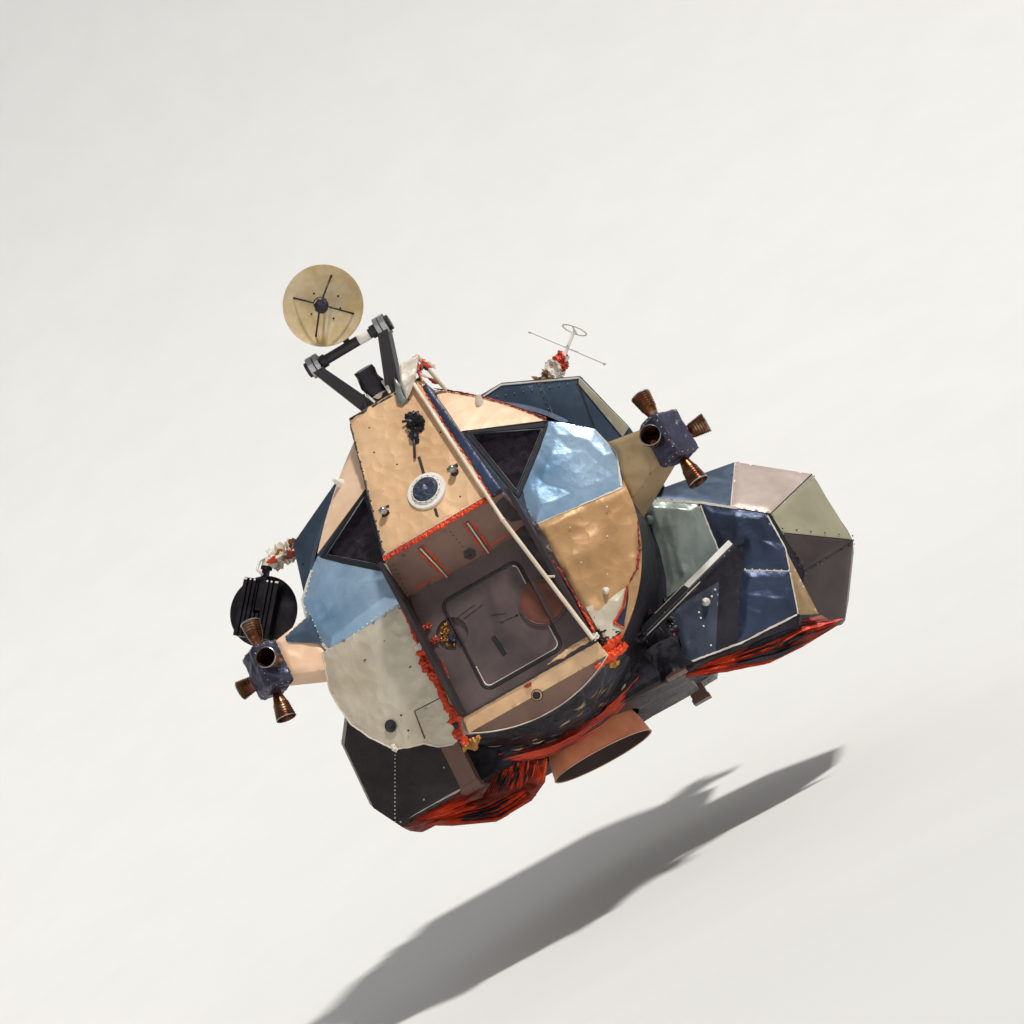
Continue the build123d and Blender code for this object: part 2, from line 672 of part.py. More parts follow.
# Docking tunnel and the hatch that closes its lower end
with BuildPart() as docking_tunnel:
    drum((0, 0, TUNNEL_FOOT_Z), (0, 0, 1), TUNNEL_R + TUNNEL_WALL, TUNNEL_TOP_Z - TUNNEL_FOOT_Z)
    drum((0, 0, MID_TOP_Z), (0, 0, 1), RING_R, TUNNEL_TOP_Z - MID_TOP_Z)
    for ear_x in LID_FIXED:
        left, right = ear_x - EAR / 2, ear_x + EAR / 2
        block((left, TUNNEL_R - EAR, TUNNEL_FOOT_Z), (right, LID_HINGE_Y + 20, TUNNEL_FOOT_Z + 2 * EAR))
        block((left, LID_HINGE_Y - 25, LID_HINGE_Z - 20), (right, LID_HINGE_Y + 20, TUNNEL_FOOT_Z + EAR))
        drum((left, LID_HINGE_Y, LID_HINGE_Z), (1, 0, 0), PIN_R, EAR, mode=Mode.SUBTRACT)
    drum((0, 0, TUNNEL_FOOT_Z), (0, 0, 1), TUNNEL_R, TUNNEL_TOP_Z - TUNNEL_FOOT_Z, mode=Mode.SUBTRACT)
save(docking_tunnel, "docking_tunnel")

with BuildPart() as overhead_hatch:
    drum((0, 0, LID_Z), (0, 0, 1), LID_R, LID)
    block((-LID_ARM, LID_R - 60, LID_HINGE_Z - 8), (LID_ARM, LID_HINGE_Y, LID_HINGE_Z + 8))
    drum((-LID_ARM, LID_HINGE_Y, LID_HINGE_Z), (1, 0, 0), 14, 2 * LID_ARM)
    drum((-LID_ARM - EAR, LID_HINGE_Y, LID_HINGE_Z), (1, 0, 0), PIN_R - 0.1, 2 * LID_ARM + 2 * EAR)
save(overhead_hatch, "overhead_hatch")

# Propellant tank bulges. Each row: side, half length, front view outline,
# the planes cut at the front and again at the rear, and the planes cut once
BULGES = {
    "fuel_tank_bulge": (1, 650,
                        [(900, BAY_FOOT_Z), (900, 1400), (1480, 1400), (2073, 1372), (2539, 975),
                         (2536, 352), (2181, -130)],
                        [[(2073, -250, 1372), (2539, -250, 975), (2058, -650, 788)],
                         [(2539, -250, 975), (2536, -250, 352), (2079, -650, 586)],
                         [(2536, -250, 352), (2181, -250, -130), (1885, -650, 1)],
                         [(2073, -250, 1372), (1896, -650, 931), (1337, -650, 1352)]],
                        [[(900, -100, -30), (2181, -100, -130), (1885, 650, 300)]]),
    "oxidizer_tank_bulge": (-1, 650,
                            [(900, BAY_FOOT_Z), (900, 1400), (1500, 1400), (1800, 950), (1800, 400),
                             (1600, 60)],
                            [[(1500, -300, 1400), (1800, -300, 950), (1490, -650, 1139)],
                             [(1800, -300, 950), (1800, -300, 400), (1690, -650, 560)],
                             [(1800, -300, 400), (1600, -300, 60), (1570, -650, 90)]],
                            [[(900, -100, 0), (1600, -100, 60), (1570, 650, 380)]]),
}


def rearward(points):
    """The same points on the other side of the bulge's middle station."""
    return [(x, -y, z) for x, y, z in points]


def downward(points):
    """The plane through three points, its normal down."""
    plane = plane_of(points)
    return plane if plane.z_dir.Z < 0 else -plane


for bulge_name, (side, half_y, outline, end_facets, keels) in BULGES.items():
    with BuildPart() as bulge:
        prism(outline, -half_y, half_y)
        for corners in end_facets:
            cut_front(plane_of(corners))
            split(bisect_by=-plane_of(rearward(corners)), keep=Keep.BOTTOM)
        for corners in keels:
            split(bisect_by=downward(corners), keep=Keep.BOTTOM)
        if side < 0:
            mirror(about=Plane.YZ, mode=Mode.REPLACE)
    save(bulge, bulge_name)

# Aft equipment bay and its rear heat shield
with BuildPart() as aft_equipment_bay:
    prism(both_sides(AFT_OUTLINE), MID_HALF_Y, AFT_Y)
save(aft_equipment_bay, "aft_equipment_bay")

with BuildPart() as aft_heat_shield:
    with BuildSketch(Plane.XZ.offset(-AFT_Y - AFT_SHIELD)) as shield_outline:
        with BuildLine():
            Polyline(*both_sides(AFT_OUTLINE), close=True)
        make_face()
        offset(amount=-30)
    extrude(shield_outline.sketch, amount=AFT_SHIELD)
save(aft_heat_shield, "aft_heat_shield")

# Thruster quads: cluster housings, nozzles and the fairings that carry them
def quad_plane(sx, sy):
    """A plane at the quad's centre, x outwards along the diagonal and z up."""
    return Plane(origin=(sx * QUAD_XY, sy * QUAD_XY, QUAD_Z), x_dir=(sx, sy, 0), z_dir=(0, 0, 1))


def housing(sx, sy, mode=Mode.ADD):
    """The box that holds a quad's four thrust chambers."""
    with BuildSketch(quad_plane(sx, sy).offset(-QUAD_HALF_H)) as face:
        Rectangle(2 * QUAD_HALF_U, 2 * QUAD_HALF_V)
    extrude(face.sketch, amount=2 * QUAD_HALF_H, mode=mode)


def nozzle(mouth, axis):
    """A hollow bell with its thrust chamber, from the middle of its mouth back along its axis."""
    aside = Vector(*axis).cross(Vector(1, -1, 0))
    chamber_foot = -NOZZLE_LEN - CHAMBER_LEN
    waist = -NOZZLE_LEN / 2 - 12
    with BuildSketch(Plane(origin=mouth, x_dir=aside, z_dir=aside.cross(Vector(*axis)))) as half:
        with BuildLine():
            Polyline((0, chamber_foot), (CHAMBER_R, chamber_foot), (CHAMBER_R, -NOZZLE_LEN))
            Polyline((CHAMBER_R, -NOZZLE_LEN), (NOZZLE_WAIST_R, waist), (NOZZLE_R, 0), (NOZZLE_R - 4, 0),
                     (NOZZLE_WAIST_R - 6, waist), (CHAMBER_R - 10, -NOZZLE_LEN + 6), (0, -NOZZLE_LEN + 6),
                     (0, chamber_foot))
        make_face()
    revolve(half.sketch, axis=Axis(mouth, axis))


QUADS = [("port_fore", 1, -1), ("starboard_fore", -1, -1), ("port_aft", 1, 1), ("starboard_aft", -1, 1)]
for quad_name, sx, sy in QUADS:
    with BuildPart() as cluster:
        housing(sx, sy)
    save(cluster, f"thruster_housing_{quad_name}")

    with BuildPart() as nozzles:
        for up in (1, -1):
            lean = up * CANT
            nozzle((sx * (QUAD_XY - lean), sy * (QUAD_XY - lean), QUAD_Z + up * NOZZLE_RISE),
                   (-up * LEAN * sx, -up * LEAN * sy, up))
        nozzle((sx * NOZZLE_SIDE, sy * NOZZLE_END, QUAD_Z), (0, sy, 0))
        nozzle((sx * NOZZLE_END, sy * NOZZLE_SIDE, QUAD_Z), (sx, 0, 0))
        housing(sx, sy, mode=Mode.SUBTRACT)
    save(nozzles, f"thruster_nozzles_{quad_name}")

    with BuildPart() as fairing:
        with BuildSketch(Plane(origin=(sx * 1150, sy * 1220, 1385), x_dir=(0, 1, 0), z_dir=(1, 0, 0))):
            Rectangle(640, 520)
        inner = QUAD_XY - QUAD_HALF_U * sin(radians(45))
        diagonal = Plane(origin=(sx * inner, sy * inner, QUAD_Z + 20),
                         x_dir=(-sx * sy, 1, 0), z_dir=(1, sx * sy, 0))
        with BuildSketch(diagonal):
            Rectangle(2 * QUAD_HALF_V - 20, 2 * QUAD_HALF_H - 50)
        loft(ruled=True)
        if sy < 0:
            cabin_body(0, FACE_INNER_Y, REAR_Y, mode=Mode.SUBTRACT)
        else:
            block((-AFT_HALF, 0, 0), (AFT_HALF, 2 * AFT_Y, 2 * AFT_Y), mode=Mode.SUBTRACT)
    save(fairing, f"thruster_fairing_{quad_name}")

# Interstage feet: two under the cabin and two under the aft bay
with BuildPart() as interstage_feet:
    for sx, sy in ((1, -1), (-1, -1), (1, 1), (-1, 1)):
        x, y = sx * FOOT_X, sy * FOOT_Y
        top = FOOT_TOP if sy < 0 else AFT_OUTLINE[0][1]
        for half, height in ((FOOT_SIZE / 2, top), (FOOT_PAD / 2, FOOT_PAD_H)):
            block((x - half, y - half, 0), (x + half, y + half, height))
        drum((x, y, 0), (0, 0, 1), BOLT_R, 60, mode=Mode.SUBTRACT)
    drum((0, REAR_Y, CABIN_Z), (0, -1, 0), CABIN_R, CABIN_R, mode=Mode.SUBTRACT)
save(interstage_feet, "interstage_feet")

# Rendezvous radar. Its head leans forward, and z is up along the leaning mast from the tube
radar_head = Plane(origin=(RADAR_X, RADAR_Y, RADAR_Z), x_dir=(1, 0, 0),
                   z_dir=(0, -sin(radians(RADAR_TILT)), cos(radians(RADAR_TILT))))
CAP_LEN = 90
CAP_R = 82
LEG_FOOT = (120, 130)
LEG_TOP = (84, 130)
LUG = (60, 85)

with BuildPart() as radar_pedestal:
    block((RADAR_X - 165, -1600, NOSE_TOP_Z), (RADAR_X + 165, -1450, NOSE_TOP_Z + 40))
    drum((RADAR_X, -1525, NOSE_TOP_Z + 40), (0, 0, 1), 70, 45)
    for side in (1, -1):
        foot = Plane(origin=(RADAR_X + side * 115, -1525, NOSE_TOP_Z + 20), x_dir=(1, 0, 0), z_dir=(0, 0, 1))
        cap = RADAR_X + side * (RADAR_TUBE_HALF + 45)
        top = Plane(origin=(cap, RADAR_Y, RADAR_Z - 50), x_dir=(1, 0, 0), z_dir=(0, 0, 1))
        with BuildSketch(foot) as leg_foot:
            Rectangle(*LEG_FOOT)
        with BuildSketch(top) as leg_top:
            Rectangle(*LEG_TOP)
        loft([leg_foot.sketch, leg_top.sketch])
        drum((RADAR_X + side * (RADAR_TUBE_HALF + 5), RADAR_Y, RADAR_Z), (side, 0, 0), CAP_R, CAP_LEN)
        drum((RADAR_X + side * (RADAR_TUBE_HALF + CAP_LEN), RADAR_Y, RADAR_Z), (side, 0, 0), CAP_R - 22, 30)
        drum((RADAR_X + side * RADAR_TUBE_HALF, RADAR_Y, RADAR_Z), (side, 0, 0), RADAR_PIN_R + 0.1,
             CAP_LEN - 10, mode=Mode.SUBTRACT)
save(radar_pedestal, "radar_pedestal")

with BuildPart() as radar_yoke:
    drum_on(radar_head, (-RADAR_TUBE_HALF, 0, 0), (1, 0, 0), RADAR_TUBE_R, 2 * RADAR_TUBE_HALF)
    for side in (1, -1):
        drum_on(radar_head, (side * 200, 0, 0), (side, 0, 0), RADAR_TUBE_R + 12, RADAR_TUBE_HALF - 205)
        drum_on(radar_head, (side * RADAR_TUBE_HALF, 0, 0), (side, 0, 0), RADAR_PIN_R, CAP_LEN - 15)
    mast_front = 2 * RADAR_NECK - RADAR_PIVOT_AHEAD - 30
    block_on(radar_head, (-24, mast_front, 0), (24, mast_front + 30, RADAR_PIVOT_UP + LUG[1]))
    for side in (1, -1):
        lug_z = sorted((RADAR_PIVOT_UP + side * LUG[0], RADAR_PIVOT_UP + side * LUG[1]))
        block_on(radar_head, (-20, -RADAR_PIVOT_AHEAD - 15, lug_z[0]), (20, mast_front + 5, lug_z[1]))
        drum_on(radar_head, (0, -RADAR_PIVOT_AHEAD, lug_z[0]), (0, 0, 1), 10.1, LUG[1] - LUG[0],
                mode=Mode.SUBTRACT)
save(radar_yoke, "radar_yoke")

with BuildPart() as radar_dish:
    dish_back = -RADAR_PIVOT_AHEAD - RADAR_NECK
    dish(radar_head, dish_back, dish_back - RADAR_DISH_DEPTH, RADAR_PIVOT_UP, RADAR_DISH_R, 8)
    drum_on(radar_head, (0, -RADAR_PIVOT_AHEAD, RADAR_PIVOT_UP), (0, -1, 0), 18, RADAR_NECK + 4)
    drum_on(radar_head, (0, -RADAR_PIVOT_AHEAD, RADAR_PIVOT_UP - LUG[0] + 5), (0, 0, 1), 20, 2 * LUG[0] - 10)
    drum_on(radar_head, (0, -RADAR_PIVOT_AHEAD, RADAR_PIVOT_UP - LUG[1]), (0, 0, 1), 10, 2 * LUG[1])
    hub_back = dish_back - HUB_AHEAD
    drum_on(radar_head, (0, dish_back, RADAR_PIVOT_UP), (0, -1, 0), 9, HUB_AHEAD)
    drum_on(radar_head, (0, hub_back, RADAR_PIVOT_UP), (0, -1, 0), 45, 22)
    for turn in (45, 135, 225, 315):
        foot_r = 0.77 * RADAR_DISH_R
        foot_y = dish_back - 6 - RADAR_DISH_DEPTH * 0.77 ** 2
        aside, above = cos(radians(turn)), sin(radians(turn))
        rod(radar_head.from_local_coords(Vector(foot_r * aside, foot_y, RADAR_PIVOT_UP + foot_r * above)),
            radar_head.from_local_coords(Vector(30 * aside, hub_back - 5, RADAR_PIVOT_UP + 30 * above)), 5)
save(radar_dish, "radar_dish")

# Steerable antenna. The head's z points from the dish's tilting pin back along the post to the arm
antenna_head = Plane(origin=Vector(*STEER_TIP) - Vector(0.6, 0, 0.8) * STEER_POST,
                     x_dir=(0.8, 0, -0.6), z_dir=(0.6, 0, 0.8))
HUB = (332, 358)

with BuildPart() as antenna_arm:
    taper((-1330, STEER_TIP[1], 2535), (STEER_TIP[0] + 40, STEER_TIP[1], STEER_TIP[2]), 80, 42)
    drum_on(antenna_head, (0, 0, HUB[1] + 5), (0, 0, 1), 46, 72)
    drum_on(antenna_head, (0, 0, HUB[1] + 5), (0, 0, 1), STEER_PIN_R + 0.1, 62, mode=Mode.SUBTRACT)
    prism(both_sides(MID_OUTLINE), -MID_HALF_Y, MID_HALF_Y, mode=Mode.SUBTRACT)
save(antenna_arm, "antenna_arm")

with BuildPart() as antenna_yoke:
    drum_on(antenna_head, (0, 0, HUB[0]), (0, 0, 1), 48, HUB[1] - HUB[0])
    drum_on(antenna_head, (0, 0, HUB[1]), (0, 0, 1), STEER_PIN_R, 62)
    block_on(antenna_head, (-STEER_POST_HALF, -STEER_POST_HALF, 0),
             (STEER_POST_HALF, STEER_POST_HALF, HUB[0]))
    drum_on(antenna_head, (-STEER_POST_HALF, 0, 0), (1, 0, 0), STEER_POST_HALF, 2 * STEER_POST_HALF)
    drum_on(antenna_head, (-STEER_POST_HALF, 0, 0), (1, 0, 0), 10.1, 2 * STEER_POST_HALF, mode=Mode.SUBTRACT)
save(antenna_yoke, "antenna_yoke")

with BuildPart() as antenna_dish:
    slot_half = STEER_POST_HALF + STEER_GAP
    steer_back = slot_half + 5
    dish(antenna_head, steer_back, steer_back + STEER_DISH_DEPTH, 0, STEER_DISH_R, 10)
    block_on(antenna_head, (-155, -60, -245), (155, steer_back + 2, 245))
    for fin in range(FINS):
        groove = (fin - (FINS - 1) / 2) * FIN_PITCH
        block_on(antenna_head, (groove - 8, -60, -245), (groove + 8, -36, 245), mode=Mode.SUBTRACT)
    block_on(antenna_head, (-slot_half, -60, -42), (slot_half, slot_half, 245), mode=Mode.SUBTRACT)
    drum_on(antenna_head, (-60, 0, 0), (1, 0, 0), 10, 120)
    drum_on(antenna_head, (0, steer_back, 0), (0, 1, 0), 12, 150)
    drum_on(antenna_head, (0, steer_back + 150, 0), (0, 1, 0), 45, 12)
save(antenna_dish, "antenna_dish")

# Small fittings
with BuildPart() as tracking_light:
    drum(on_plane(nose_plane, 0, LIGHT_Z), nose_plane.z_dir, 145, 30)
    drum(on_plane(nose_plane, 0, LIGHT_Z), nose_plane.z_dir, 100, 45)
save(tracking_light, "tracking_light")

with BuildPart() as handrail:
    rod(RAIL_TOP, RAIL_ELBOW, RAIL_R)
    rod(RAIL_ELBOW, RAIL_END, RAIL_R)
    rod(RAIL_APEX, RAIL_TOP, RAIL_R)
    rod(RAIL_APEX, on_plane(brow_plane.offset(-PANEL / 2), *RAIL_BRACE), RAIL_R)
    for joint in (RAIL_TOP, RAIL_ELBOW, RAIL_APEX):
        with Locations(joint):
            Sphere(RAIL_R + 3)
    for share in (0.06, 0.45, 0.8):
        stand = Vector(*RAIL_TOP) + (Vector(*RAIL_ELBOW) - Vector(*RAIL_TOP)) * share
        rod(stand, stand - nose_plane.z_dir * 90, 9)
    rod(RAIL_MIDDLE, (RIDGE_IN[0] - RAIL / 2, RAIL_MIDDLE[1] + 130, RAIL_MIDDLE[2]), 9)
    rod((RAIL_END[0] - 8, RAIL_END[1], RAIL_END[2] + 40),
        (RAIL_END[0] - 8, RAIL_FOOT_Y + 60, RAIL_END[2] + 40), 9)
    nose_body(0, mode=Mode.SUBTRACT)
    add(recess_sides[0], mode=Mode.SUBTRACT)
    add(brows[0], mode=Mode.SUBTRACT)
save(handrail, "handrail")

with BuildPart() as nose_lamps:
    for lamp in LAMPS:
        base = on_plane(nose_plane, *lamp)
        drum(base, nose_plane.z_dir, 14, 50)
        with Locations(base + nose_plane.z_dir * 60):
            Sphere(LAMP_R)
save(nose_lamps, "nose_lamps")

with BuildPart() as inflight_cones:
    for base, normal in CONES:
        with BuildSketch(Plane(origin=base, z_dir=normal)):
            Circle(CONE_R)
        with BuildSketch(Plane(origin=base, z_dir=normal).offset(CONE_H)):
            Circle(CONE_R / 3)
        loft()
save(inflight_cones, "inflight_cones")

with BuildPart() as vhf_antenna:
    taper(MAST_FOOT, MAST_NECK, 80, 48)
    rod(MAST_NECK, MAST_TOP, 14)
    rod(WHIP[0], WHIP[1], 6)
    for tip in WHIP:
        with Locations(tip):
            Sphere(14)
    mast_lean = Vector(*MAST_TOP) - Vector(*MAST_NECK)
    halo = Plane(origin=MAST_TOP, x_dir=(0, 1, 0), z_dir=mast_lean)
    with Locations(halo):
        Torus(HALO_R, 7)
    drum_on(halo, (-HALO_R, 0, 0), (1, 0, 0), 6, 2 * HALO_R)
    prism(both_sides(MID_OUTLINE), -MID_HALF_Y, MID_HALF_Y, mode=Mode.SUBTRACT)
save(vhf_antenna, "vhf_antenna")

with BuildPart() as loose_strip:
    along = Vector(*STRIP_END) - Vector(*STRIP_START)
    with BuildSketch(Plane(origin=STRIP_START, x_dir=(0, 1, 0), z_dir=along)) as angle:
        with BuildLine():
            Polyline((0, 0), (STRIP_WIDE, 0), (STRIP_WIDE, STRIP_THICK), (STRIP_THICK, STRIP_THICK),
                     (STRIP_THICK, STRIP_TALL), (0, STRIP_TALL), close=True)
        make_face()
    extrude(angle.sketch, amount=along.length)
    drum((0, REAR_Y, CABIN_Z), (0, -1, 0), CABIN_R, CABIN_R, mode=Mode.SUBTRACT)
save(loose_strip, "loose_strip")
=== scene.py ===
import bpy
import bmesh
import numpy as np
from math import ceil, cos, pi, radians, sin
from mathutils import Matrix, Vector, geometry, noise


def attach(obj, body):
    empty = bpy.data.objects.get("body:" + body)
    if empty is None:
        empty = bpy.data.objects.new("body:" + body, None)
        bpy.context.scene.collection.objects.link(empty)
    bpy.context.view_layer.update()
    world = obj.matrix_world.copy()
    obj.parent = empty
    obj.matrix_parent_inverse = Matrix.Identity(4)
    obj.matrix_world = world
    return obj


# Ascent stage of a lunar module: foil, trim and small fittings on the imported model. Metres.
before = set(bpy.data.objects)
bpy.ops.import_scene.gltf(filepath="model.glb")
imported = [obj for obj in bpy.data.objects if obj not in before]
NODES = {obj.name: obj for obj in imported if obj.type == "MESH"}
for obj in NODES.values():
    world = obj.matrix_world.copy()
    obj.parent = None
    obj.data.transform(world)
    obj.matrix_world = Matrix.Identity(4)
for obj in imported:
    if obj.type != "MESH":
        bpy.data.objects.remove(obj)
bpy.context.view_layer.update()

# Camera of the photograph: 80 mm lens on a 55 mm wide frame
camera = bpy.data.cameras.new("camera")
camera.lens = 80
camera.sensor_width = 55
camera.clip_end = 200
camera_object = bpy.data.objects.new("camera", camera)
bpy.context.scene.collection.objects.link(camera_object)
camera_object.matrix_world = Matrix(((0.8622, 0.4987, 0.0886, 1.393),
                                     (0.2273, -0.2248, -0.9475, -11.832),
                                     (-0.4526, 0.8371, -0.3072, -1.809),
                                     (0, 0, 0, 1)))
bpy.context.scene.camera = camera_object
bpy.context.scene.view_settings.view_transform = "Standard"


# Materials

def linear(colour):
    """A colour written as on a screen, 0 to 255, as Blender's linear numbers."""
    shares = [channel / 255 for channel in colour]
    return tuple(s / 12.92 if s <= 0.04045 else ((s + 0.055) / 1.055) ** 2.4 for s in shares) + (1,)


class Graph:
    """A material's node tree, with short calls for the nodes that the finishes share."""

    def __init__(self, name):
        self.material = bpy.data.materials.new(name)
        self.material.use_nodes = True
        self.tree = self.material.node_tree
        self.shader = self.tree.nodes["Principled BSDF"]
        self.place = self.node("ShaderNodeTexCoord").outputs["Object"]

    def node(self, kind, **inputs):
        made = self.tree.nodes.new(kind)
        for key, value in inputs.items():
            self.set(made.inputs[key.replace("_", " ")], value)
        return made

    def set(self, socket, value):
        if isinstance(value, bpy.types.NodeSocket):
            self.tree.links.new(value, socket)
        else:
            socket.default_value = value

    def noise(self, scale, detail=4, roughness=0.6, distortion=0):
        return self.node("ShaderNodeTexNoise", Vector=self.place, Scale=scale, Detail=detail, Roughness=roughness,
                         Distortion=distortion).outputs["Fac"]

    def bent(self, scale, amount):
        """Coordinates pushed about by noise, so that creases aren't straight."""
        push = self.node("ShaderNodeTexNoise", Vector=self.place, Scale=scale)
        centred = self.node("ShaderNodeVectorMath", Vector=push.outputs["Color"])
        centred.operation = "SCALE"
        centred.inputs["Scale"].default_value = amount
        moved = self.tree.nodes.new("ShaderNodeVectorMath")
        self.set(moved.inputs[0], self.place)
        self.set(moved.inputs[1], centred.outputs["Vector"])
        return moved.outputs["Vector"]

    def cells(self, scale, place=None):
        return self.node("ShaderNodeTexVoronoi", Vector=place or self.place, Scale=scale).outputs["Distance"]

    def ramp(self, value, *stops):
        """A colour ramp. Each stop is a position and a screen colour."""
        made = self.node("ShaderNodeValToRGB", Fac=value)
        elements = made.color_ramp.elements
        while len(elements) < len(stops):
            elements.new(0.5)
        for element, (position, colour) in zip(elements, stops):
            element.position = position
            element.color = linear(colour)
        return made.outputs["Color"]

    def range(self, value, low, high, start=0.3, end=0.7):
        made = self.node("ShaderNodeMapRange", Value=value, From_Min=start, From_Max=end, To_Min=low, To_Max=high)
        return made.outputs["Result"]

    def mix(self, factor, first, second):
        made = self.node("ShaderNodeMix")
        made.data_type = "RGBA"
        self.set(made.inputs["Factor"], factor)
        self.set(made.inputs["A"], first)
        self.set(made.inputs["B"], second)
        return made.outputs["Result"]

    def bump(self, height, distance, under=None):
        made = self.node("ShaderNodeBump", Height=height, Distance=distance, Strength=1)
        if under:
            self.set(made.inputs["Normal"], under)
        return made.outputs["Normal"]

    def finish(self, **inputs):
        for key, value in inputs.items():
            self.set(self.shader.inputs[key.replace("_", " ")], value)
        return self.material


def foil(name, colour, deep, metallic=0.2, rough=(0.4, 0.6), crinkle=0.006, fine=0.0015, grain=7,
         stain=(60, 50, 44), stains=0.25):
    """Thin foil over a frame: broad folds, small crinkles, and stains."""
    g = Graph(name)
    folds = g.cells(grain * 0.5, g.bent(1.8, 0.5))
    sharp = g.cells(grain * 1.7, g.bent(4, 0.2))
    small = g.noise(grain * 8, 8, 0.62, 0.6)
    tint = g.ramp(g.noise(1.7, 3), (0.32, deep), (0.62, colour))
    worn = g.range(g.noise(grain * 2, 8, 0.7), 0, stains, 0.55, 0.75)
    paint = g.mix(worn, tint, linear(stain))
    normal = g.bump(folds, crinkle, g.bump(sharp, crinkle * 0.5, g.bump(small, fine)))
    return g.finish(Base_Color=paint, Metallic=metallic, Roughness=g.range(small, *rough), Normal=normal)


def metal(name, colour, deep, metallic, rough):
    """Bare or plated metal with fine scratches and dull patches."""
    g = Graph(name)
    patch = g.noise(6, 6, 0.65)
    scratches = g.noise(160, 5, 0.7, 1.5)
    return g.finish(Base_Color=g.ramp(patch, (0.35, deep), (0.65, colour)), Metallic=metallic,
                    Roughness=g.range(patch, *rough), Normal=g.bump(scratches, 0.0006))


def painted(name, colour, deep, rough):
    """Paint or anodised sheet, a little uneven and rubbed."""
    g = Graph(name)
    patch = g.noise(3, 6, 0.6)
    speck = g.noise(90, 4, 0.7)
    paint = g.mix(g.range(speck, 0, 0.35, 0.6, 0.72), g.ramp(patch, (0.35, deep), (0.62, colour)), linear(deep))
    return g.finish(Base_Color=paint, Roughness=g.range(patch, *rough), Normal=g.bump(speck, 0.0006))


# Foils: name, colour, deeper colour, metallic, roughness, crinkle, fine crinkle, grain, stain, share of stains
TAN = foil("tan_foil", (226, 186, 144), (206, 162, 118), 0.15, (0.38, 0.56), 0.02, 0.0014, 5, stains=0.16)
PEACH = foil("peach_foil", (240, 204, 172), (226, 184, 148), 0.1, (0.42, 0.58), 0.012, 0.0012, 4, stains=0.1)
CREAM = foil("cream_foil", (214, 206, 186), (186, 172, 150), 0.2, (0.36, 0.54), 0.016, 0.0015, 6, stains=0.12)
OCHRE = foil("ochre_foil", (208, 165, 116), (170, 128, 84), 0.2, (0.36, 0.54), 0.02, 0.0015, 5, stains=0.2)
BLUE = foil("pale_blue_foil", (176, 202, 226), (122, 158, 190), 0.55, (0.26, 0.42), 0.01, 0.0012, 5,
            (96, 116, 140), 0.2)
STEEL_BLUE = foil("steel_blue_foil", (76, 92, 112), (50, 62, 78), 0.5, (0.32, 0.48), 0.004, 0.0008, 3,
                  (40, 46, 56), 0.15)
NAVY = foil("navy_foil", (58, 70, 96), (34, 42, 60), 0.5, (0.3, 0.46), 0.008, 0.0015, 6, (26, 28, 36), 0.2)
BLACK = foil("black_foil", (54, 52, 60), (30, 27, 33), 0.55, (0.3, 0.5), 0.012, 0.002, 8, (20, 18, 20), 0.2)
CHAR = foil("char_foil", (64, 56, 58), (40, 33, 35), 0.4, (0.38, 0.6), 0.007, 0.0015, 5, (28, 24, 24), 0.2)
TAUPE = foil("taupe_foil", (130, 100, 87), (104, 77, 68), 0.25, (0.4, 0.56), 0.004, 0.001, 5, (80, 58, 50), 0.2)
KHAKI = foil("khaki_foil", (178, 152, 114), (146, 120, 86), 0.2, (0.4, 0.58), 0.008, 0.0015, 5, (110, 88, 62), 0.2)
SAND = foil("sand_foil", (170, 164, 140), (146, 140, 116), 0.2, (0.38, 0.52), 0.004, 0.001, 4,
            (110, 104, 88), 0.12)
PINK = foil("rose_foil", (182, 165, 155), (164, 147, 139), 0.25, (0.36, 0.52), 0.003, 0.001, 4,
            (130, 116, 110), 0.12)
# Dark brown foil, painted shade: it stands in for the shade on the port bulge's downward faces
BROWN_SHADE = foil("brown_foil_painted_shade", (74, 62, 61), (52, 43, 44), 0.3, (0.36, 0.52), 0.004, 0.001, 4)
SAGE = foil("grey_green_foil", (146, 154, 148), (108, 118, 114), 0.4, (0.3, 0.46), 0.012, 0.0015, 5,
            (74, 78, 72), 0.2)
ORANGE = foil("orange_foil", (226, 76, 32), (160, 38, 18), 0.35, (0.3, 0.5), 0.006, 0.003, 16, (84, 26, 18), 0.4)
GOLD = foil("gold_foil", (190, 134, 66), (100, 60, 30), 0.75, (0.24, 0.42), 0.01, 0.004, 16, (40, 24, 12), 0.5)
WHITE_FOIL = foil("white_foil", (236, 228, 214), (206, 192, 172), 0.1, (0.4, 0.6), 0.008, 0.003, 12,
                  (150, 130, 110), 0.25)
SILVER = foil("silver_foil", (206, 206, 208), (150, 150, 156), 0.85, (0.2, 0.36), 0.008, 0.002, 9, (90, 86, 84), 0.2)
HOUSING = foil("housing_foil", (78, 77, 98), (40, 38, 52), 0.5, (0.26, 0.44), 0.012, 0.002, 9, (26, 22, 28), 0.3)
COPPER = foil("copper_foil", (122, 74, 60), (80, 48, 42), 0.45, (0.36, 0.52), 0.003, 0.001, 9, (52, 32, 30), 0.5)
BRICK = foil("brick_foil", (168, 60, 40), (92, 34, 28), 0.35, (0.34, 0.52), 0.006, 0.003, 16, (40, 22, 22), 0.45)
SLATE = foil("slate_foil", (72, 80, 98), (46, 51, 64), 0.45, (0.34, 0.5), 0.008, 0.0015, 5, (30, 32, 40), 0.2)
